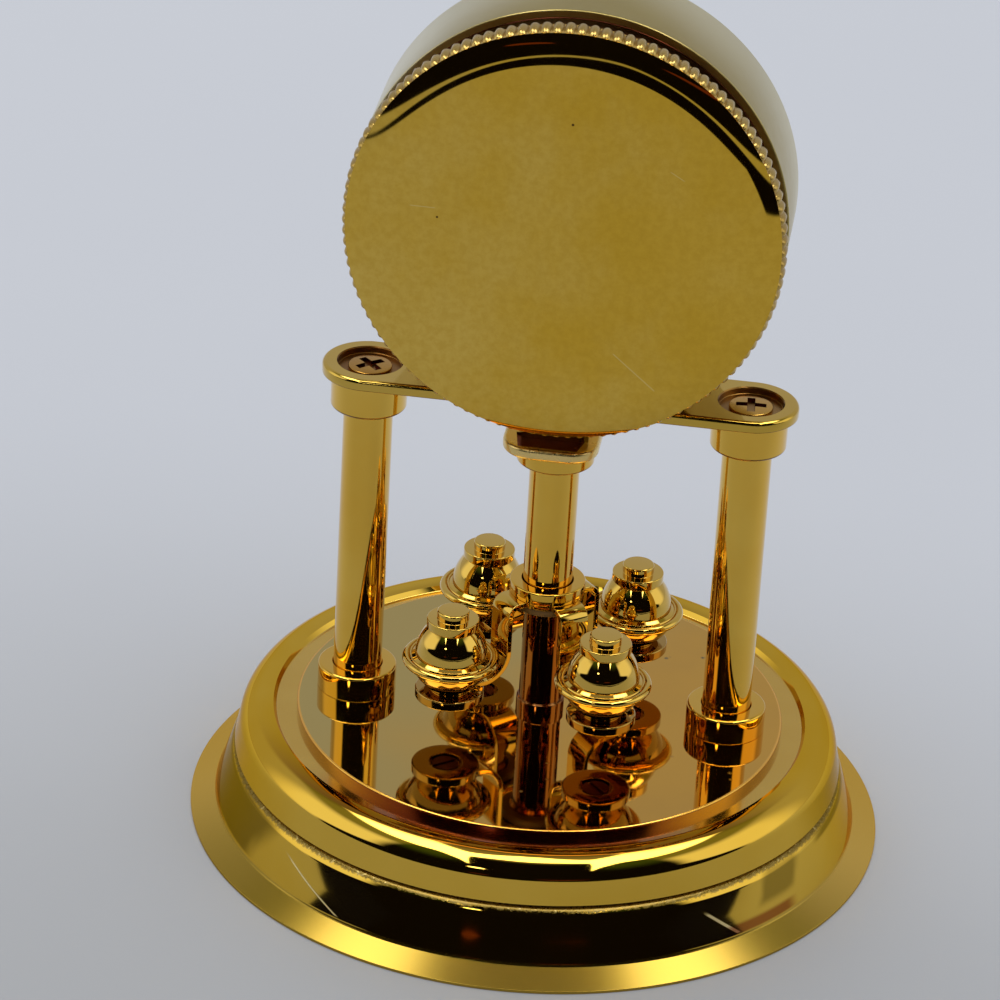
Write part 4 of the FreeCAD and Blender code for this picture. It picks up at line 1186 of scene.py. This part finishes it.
def makeWeights():
    d = weightSizes
    rimRound = (d["rimHigh"] - d["rimLow"]) / 2
    rimCentre = (d["rim"] - rimRound, d["rimLow"] + rimRound)
    domeTop = math.degrees(math.acos((d["step"] - 0.12) / d["dome"]))
    bowl = bulge((d["bowlFoot"] + 0.08, d["foot"] + 0.1), [(-52, -12, 2.6)])
    grow = Vector((d["bowl"], d["rimLow"] - 0.12)) - bowl[-1]
    bowl = [point + grow * index / (len(bowl) - 1) for index, point in enumerate(bowl)]
    dome = arcPoints((0, 0), d["dome"], 2, domeTop, 18)
    dome = [Vector((point.x, d["domeCentre"] + point.y * d["domeTall"] / d["dome"])) for point in dome]
    outline = [Vector((0, d["foot"])), Vector((d["bowlFoot"], d["foot"]))] + bowl
    outline += arcPoints(rimCentre, rimRound, -105, 100, 16)
    outline += rounded([(d["ridge"] + 0.22, d["rimHigh"] - 0.17),
                        (d["ridge"] + 0.1, d["rimHigh"] - 0.14, 0.03),
                        (d["ridge"], d["rimHigh"] + 0.05, 0.06),
                        (d["ridge"] - 0.24, d["rimHigh"] - 0.02, 0.05)])
    outline += dome
    stepFoot = dome[-1].y + 0.06
    outline += rounded([(d["step"] - 0.1, stepFoot), (d["step"], stepFoot + 0.04, 0.05),
                        (d["step"], d["stepTop"], 0.1), (d["button"], d["stepTop"], 0.04),
                        (d["button"], d["buttonTop"], 0.16), (0, d["buttonTop"])])
    body = turned("weight", outline, steps=128)
    foot = turned("foot", rounded([(0.65, d["sinkTop"]), (d["footSink"], d["sinkTop"], 0.05),
                                   (d["footSink"], d["footUnder"], 0.06),
                                   (d["footDisc"], d["footUnder"], 0.14),
                                   (d["footDisc"], d["footTop"], 0.14), (0.65, d["footTop"])], closed=True),
                  steps=96)
    p = pendulumSizes
    for number in range(1, 5):
        angle = math.radians(p["turn"] + 90 * (number - 1))
        move = (p["orbit"] * math.cos(angle), p["orbit"] * math.sin(angle), 0)
        weight = copied(body, "weight" + str(number), angle, move)
        # The bowl below the rim, and the foot, take a darker brass as painted shade.
        tinted(weight, "weight", "bowl", lambda spot: spot.z < d["rimLow"] - 0.05)
        settle(weight, None, "pendulum", "polished_brass", "weight_body_" + str(number), sharp=38)
        settle(copied(foot, "weightFoot" + str(number), angle, move), "bowl", "pendulum",
               "polished_brass", "weight_foot_" + str(number), sharp=38)
    bpy.data.objects.remove(body)
    bpy.data.objects.remove(foot)


def makeSpider():
    d = pendulumSizes
    high, low, wall = d["hubFoot"], d["armLow"], d["armWall"]
    outer, inner = d["reach"], d["reach"] - wall
    path = rounded([(d["hubBore"] + 0.3, high - wall), (inner, high - wall, d["topBend"] - wall),
                    (inner, low, d["lowBend"]), (d["orbit"], low), (d["orbit"], low + wall),
                    (outer, low + wall, d["lowBend"] - wall), (outer, high, d["topBend"]),
                    (d["hubBore"] + 0.3, high)],
                   closed=True, stepAngle=7)
    arm = chain("arm", [Vector((across, -d["armHalf"], up)) * mm for across, up in path])
    mergeClose()
    selectAll()
    bpy.ops.mesh.edge_face_add()
    extrude((0, 2 * d["armHalf"], 0))
    faceOutwards()
    applyPlace()
    edge = d["edge"]
    pad = turned("pad", section(0, d["pad"], low, low + wall, (0, edge, edge, 0)), centre=(d["orbit"], 0, 0),
                 steps=64)
    addModifier(arm, "BEVEL", {"width": 0.07 * mm, "segments": 3, "limit_method": "ANGLE",
                               "angle_limit": math.radians(50)})
    arm = joined("arm", [arm, pad])
    arms = [copied(arm, "arm" + str(number), math.radians(d["turn"] + 90 * number)) for number in range(4)]
    bpy.data.objects.remove(arm)
    ring = turned("ring", section(d["hubBore"], d["hub"] - 0.1, high - wall, high, (0, 0.05, 0, 0)), steps=96)
    settle(joined("spider", [ring] + arms), "weight", "pendulum", "polished_brass", "pendulum_spider")
    outline = section(d["hubBore"], d["hub"], d["hubFoot"], d["hubTop"], (0, edge, 0.16, 0.08))
    hub = turned("pendulumHub", outline, steps=128)
    settle(hub, "polished", "pendulum", "polished_brass", "pendulum_hub")


makeWeights()
makeSpider()
print("pendulum made")


# Inner pieces that keep their own shape

keptNodes = {
    "base_weight": "steel", "base_screws": "steel", "head_screw": "steel", "thrust_washer": "washer",
    # the weight screws take the dark recess finish, painted shade
    "weight_screws": "recess", "movement_holder": "holder", "movement_housing": "movement",
    "battery_cell": "nickel", "battery_clip": "nickel", "setting_knob": "movement",
    "hour_pipe": "polished", "minute_arbor": "steel",
}
for node, finish in keptNodes.items():
    clad(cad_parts[node], finish)


# Stage, light and camera

stageSizes = {"floorHalf": 2.5, "tableEnd": 0.264, "cornerSide": -0.083, "cornerEnd": 0.185,
              "lineNear": 0.36, "lineBow": 0.68, "lineMiddle": -0.005, "lineWide": 0.1, "near": 0.05,
              "far": -0.07, "stripe": (0.76, 0.86, 1.3, 1.5), "dark": (0.004, 0.003, 0.003),
              # two close shades of the cloth, each (far, near), the near one darker as painted shade
              "cloths": [((0.575, 0.595, 0.635), (0.415, 0.425, 0.435)),
                         ((0.60, 0.62, 0.655), (0.435, 0.445, 0.455))]}


def ray(start, kind):
    return start.node("ShaderNodeLightPath", output=kind)


def tableRecipe(start, place):
    # A pale table. For glossy rays it turns black past a line and in one corner, but for a pale stripe.
    d = stageSizes
    across, along = place.parts()[:2]
    spread = (across - d["lineMiddle"]) / d["lineWide"]
    bow = (0 - spread * spread).by("EXPONENT") * d["lineBow"] + d["lineNear"]
    stripe = (along / bow).within(*d["stripe"])
    corner = across.ramp(d["cornerSide"] + 0.003, d["cornerSide"] - 0.003)
    corner = corner * along.ramp(d["cornerEnd"] - 0.01, d["cornerEnd"])
    past = along.ramp(d["tableEnd"] - 0.005, d["tableEnd"] + 0.005)
    dark = ray(start, "Is Glossy Ray") * past.by("MAXIMUM", corner) * (1 - stripe)
    # The cloth is painted darker towards the near end, as painted shade.
    nearness = along.ramp(d["far"], d["near"])
    pale, worn = (nearness.mixed(colour(*far), colour(*near)) for far, near in d["cloths"])
    cloth = start.node("ShaderNodeBsdfDiffuse", {}, {"Color": noise(place, 14, 3).mixed(pale, worn)})
    black = start.node("ShaderNodeEmission", {}, {"Color": colour(*d["dark"]), "Strength": 1.0})
    return start.node("ShaderNodeMixShader", {}, {0: dark, 1: cloth, 2: black})


def makeFloor():
    freshStart()
    bpy.ops.mesh.primitive_grid_add(x_subdivisions=8, y_subdivisions=8, size=2 * stageSizes["floorHalf"],
                                    location=(0, 0, 0))
    floor = named("tableTop")
    floor.data.materials.append(makeMaterial("paleTable", tableRecipe))


worldSizes = {
    "middle": -6, "sideFrom": 58, "lowFrom": 83, "sideTo": 106, "sideTop": 43, "side": 1.05, "gapTop": 60,
    "ring": 4.2, "ringHigh": 75, "ringFall": 12, "ringHalf": 8,
    "strip": 5.0, "stripFoot": 36, "stripRise": 30, "stripHeading": 24.5, "stripTurn": 9, "stripHalf": 8,
    "spot": (20, 26, 3.6, 2.0), "spotLight": 6.0, "ember": (-12, 5.6, 10, 0.9), "spark": (18, 6.0, 4, 0.8),
    "top": (0.30, 0.28, 0.24), "wall": (0.47, 0.475, 0.49), "dim": (0.24, 0.25, 0.11),
    "haze": (0.05, 0.085, 0.02), "emberLight": (0.13, 0.03, 0.015), "dark": (0.004, 0.003, 0.002),
    "diffuse": (0.80, 0.81, 0.84), "backdrop": (0.56, 0.58, 0.63),
}


def makeWorld():
    # Metal sees a small studio: pale walls, two lit sides, a dim top with a bright ring, and one dark
    # open side with two bright edges that lean outwards into the ring.
    d = worldSizes
    world = bpy.data.worlds.new("studio")
    bpy.context.scene.world = world
    start = freshTree(world)
    across, along, up = start.node("ShaderNodeTexCoord", output="Generated").parts()
    turn = across.by("ARCTAN2", along) * (180 / math.pi) - d["middle"]
    heading = turn.size()
    rise = up.by("ARCSINE") * (180 / math.pi)

    def patch(middle, high, wide, tall):
        # A soft oval about one direction.
        flat, steep = (turn - middle) / wide, (rise - high) / tall
        return (flat * flat + steep * steep).ramp(1.1, 0.7)

    walls = rise.ramp(35, 75).mixed(colour(*d["wall"]), colour(*d["top"]))
    walls = (rise.within(40, 46, 56, 66) * heading.ramp(150, 120)).mixed(walls, colour(*d["dim"]))
    nearEdge = heading - rise.ramp(2, 15, d["lowFrom"], d["sideFrom"])
    side = nearEdge.ramp(-4, 5) * heading.ramp(d["sideTo"] + 14, d["sideTo"] - 8)
    side = side * rise.ramp(-6, 6) * rise.ramp(d["sideTop"] + 3, d["sideTop"] - 9)
    gap = nearEdge.ramp(3, -4) * rise.ramp(d["gapTop"] + 10, d["gapTop"] - 2)
    haze = rise.ramp(28, 50) * heading.ramp(24, 38)
    foot = (heading - d["stripHeading"]) * (-1 / d["stripTurn"])
    curve = (d["stripFoot"] + d["stripRise"]) - foot.by("EXPONENT") * d["stripRise"]
    away = (rise - curve) / heading.ramp(22, 38, 0.25, 1.0)
    strip = away.size().ramp(d["stripHalf"] + 1, d["stripHalf"] - 2)
    strip = strip * heading.ramp(d["stripHeading"] - 4, d["stripHeading"] - 1.5) * heading.ramp(150, 110)
    strip = strip * rise.ramp(d["stripFoot"] - 2, d["stripFoot"] + 8)
    centre = heading.ramp(15, 60, d["ringHigh"], d["ringHigh"] - d["ringFall"])
    ring = (rise - centre).size().ramp(d["ringHalf"] + 1.5, d["ringHalf"] - 1.5)
    ring = ring * heading.ramp(132, 108)
    seen = gap.mixed(walls, haze.mixed(colour(*d["dark"]), colour(*d["haze"])))
    seen = side.mixed(seen, colour(d["side"], d["side"], d["side"] * 0.95))
    seen = ring.mixed(seen, grey(d["ring"]))
    seen = strip.mixed(seen, grey(d["strip"]))
    seen = patch(*d["spot"]).mixed(seen, grey(d["spotLight"]))
    seen = (patch(*d["ember"]) + patch(*d["spark"])).mixed(seen, colour(*d["emberLight"]))
    # The backdrop shows to the camera, also through glass, but a dial under glass is lit as the rest is.
    shown = ray(start, "Is Glossy Ray").mixed(colour(*d["diffuse"]), seen)
    direct = ray(start, "Is Transmission Ray") * (ray(start, "Diffuse Depth") < 0.5)
    plain = (ray(start, "Is Camera Ray") + direct).ramp(0.0, 1.0).mixed(shown, colour(*d["backdrop"]))
    background = start.node("ShaderNodeBackground", {}, {"Color": plain, "Strength": 1.0})
    endTree(world, "ShaderNodeOutputWorld", background)


lampSizes = {
    "keyLamp": {"place": (0.35, -0.45, 0.75), "size": 0.7, "power": 1.6},
    "fillLamp": {"place": (-0.6, 0.35, 0.6), "size": 0.6, "power": 0.6},
}


def makeLamps():
    for name, d in lampSizes.items():
        freshStart()
        bpy.ops.object.light_add(type="AREA", location=d["place"])
        lamp = bpy.context.object
        lamp.name = name
        lamp.data.size = d["size"]
        lamp.data.energy = d["power"]
        lamp.rotation_euler = (-Vector(d["place"])).to_track_quat("-Z", "Y").to_euler()
        lamp.visible_glossy = False
        lamp.visible_transmission = False


cameraSizes = {
    "place": (-34.99, 347.24, 210.68), "target": (4.337, 0.0, 28.622), "roll": 3.302, "focal": 4.798945,
    "sensor": 36.0,
}


def makeCamera():
    d = cameraSizes
    freshStart()
    bpy.ops.object.camera_add()
    camera = bpy.context.object
    camera.name = "viewCamera"
    camera.data.sensor_width = d["sensor"]
    camera.data.lens = d["focal"] * d["sensor"]
    camera.data.clip_start = 0.01
    camera.data.clip_end = 20
    place, target = Vector(d["place"]) * mm, Vector(d["target"]) * mm
    ahead = (target - place).normalized()
    right = ahead.cross(Vector((0, 0, 1))).normalized()
    up = right.cross(ahead)
    roll = math.radians(d["roll"])
    imageRight = right * math.cos(roll) + up * math.sin(roll)
    imageUp = up * math.cos(roll) - right * math.sin(roll)
    camera.matrix_world = Matrix.Translation(place) @ Matrix((imageRight, imageUp,
                                                              -ahead)).transposed().to_4x4()
    bpy.context.scene.camera = camera


makeFloor()
makeWorld()
makeLamps()
makeCamera()
bpy.context.scene.view_settings.view_transform = "Standard"
print("stage made")
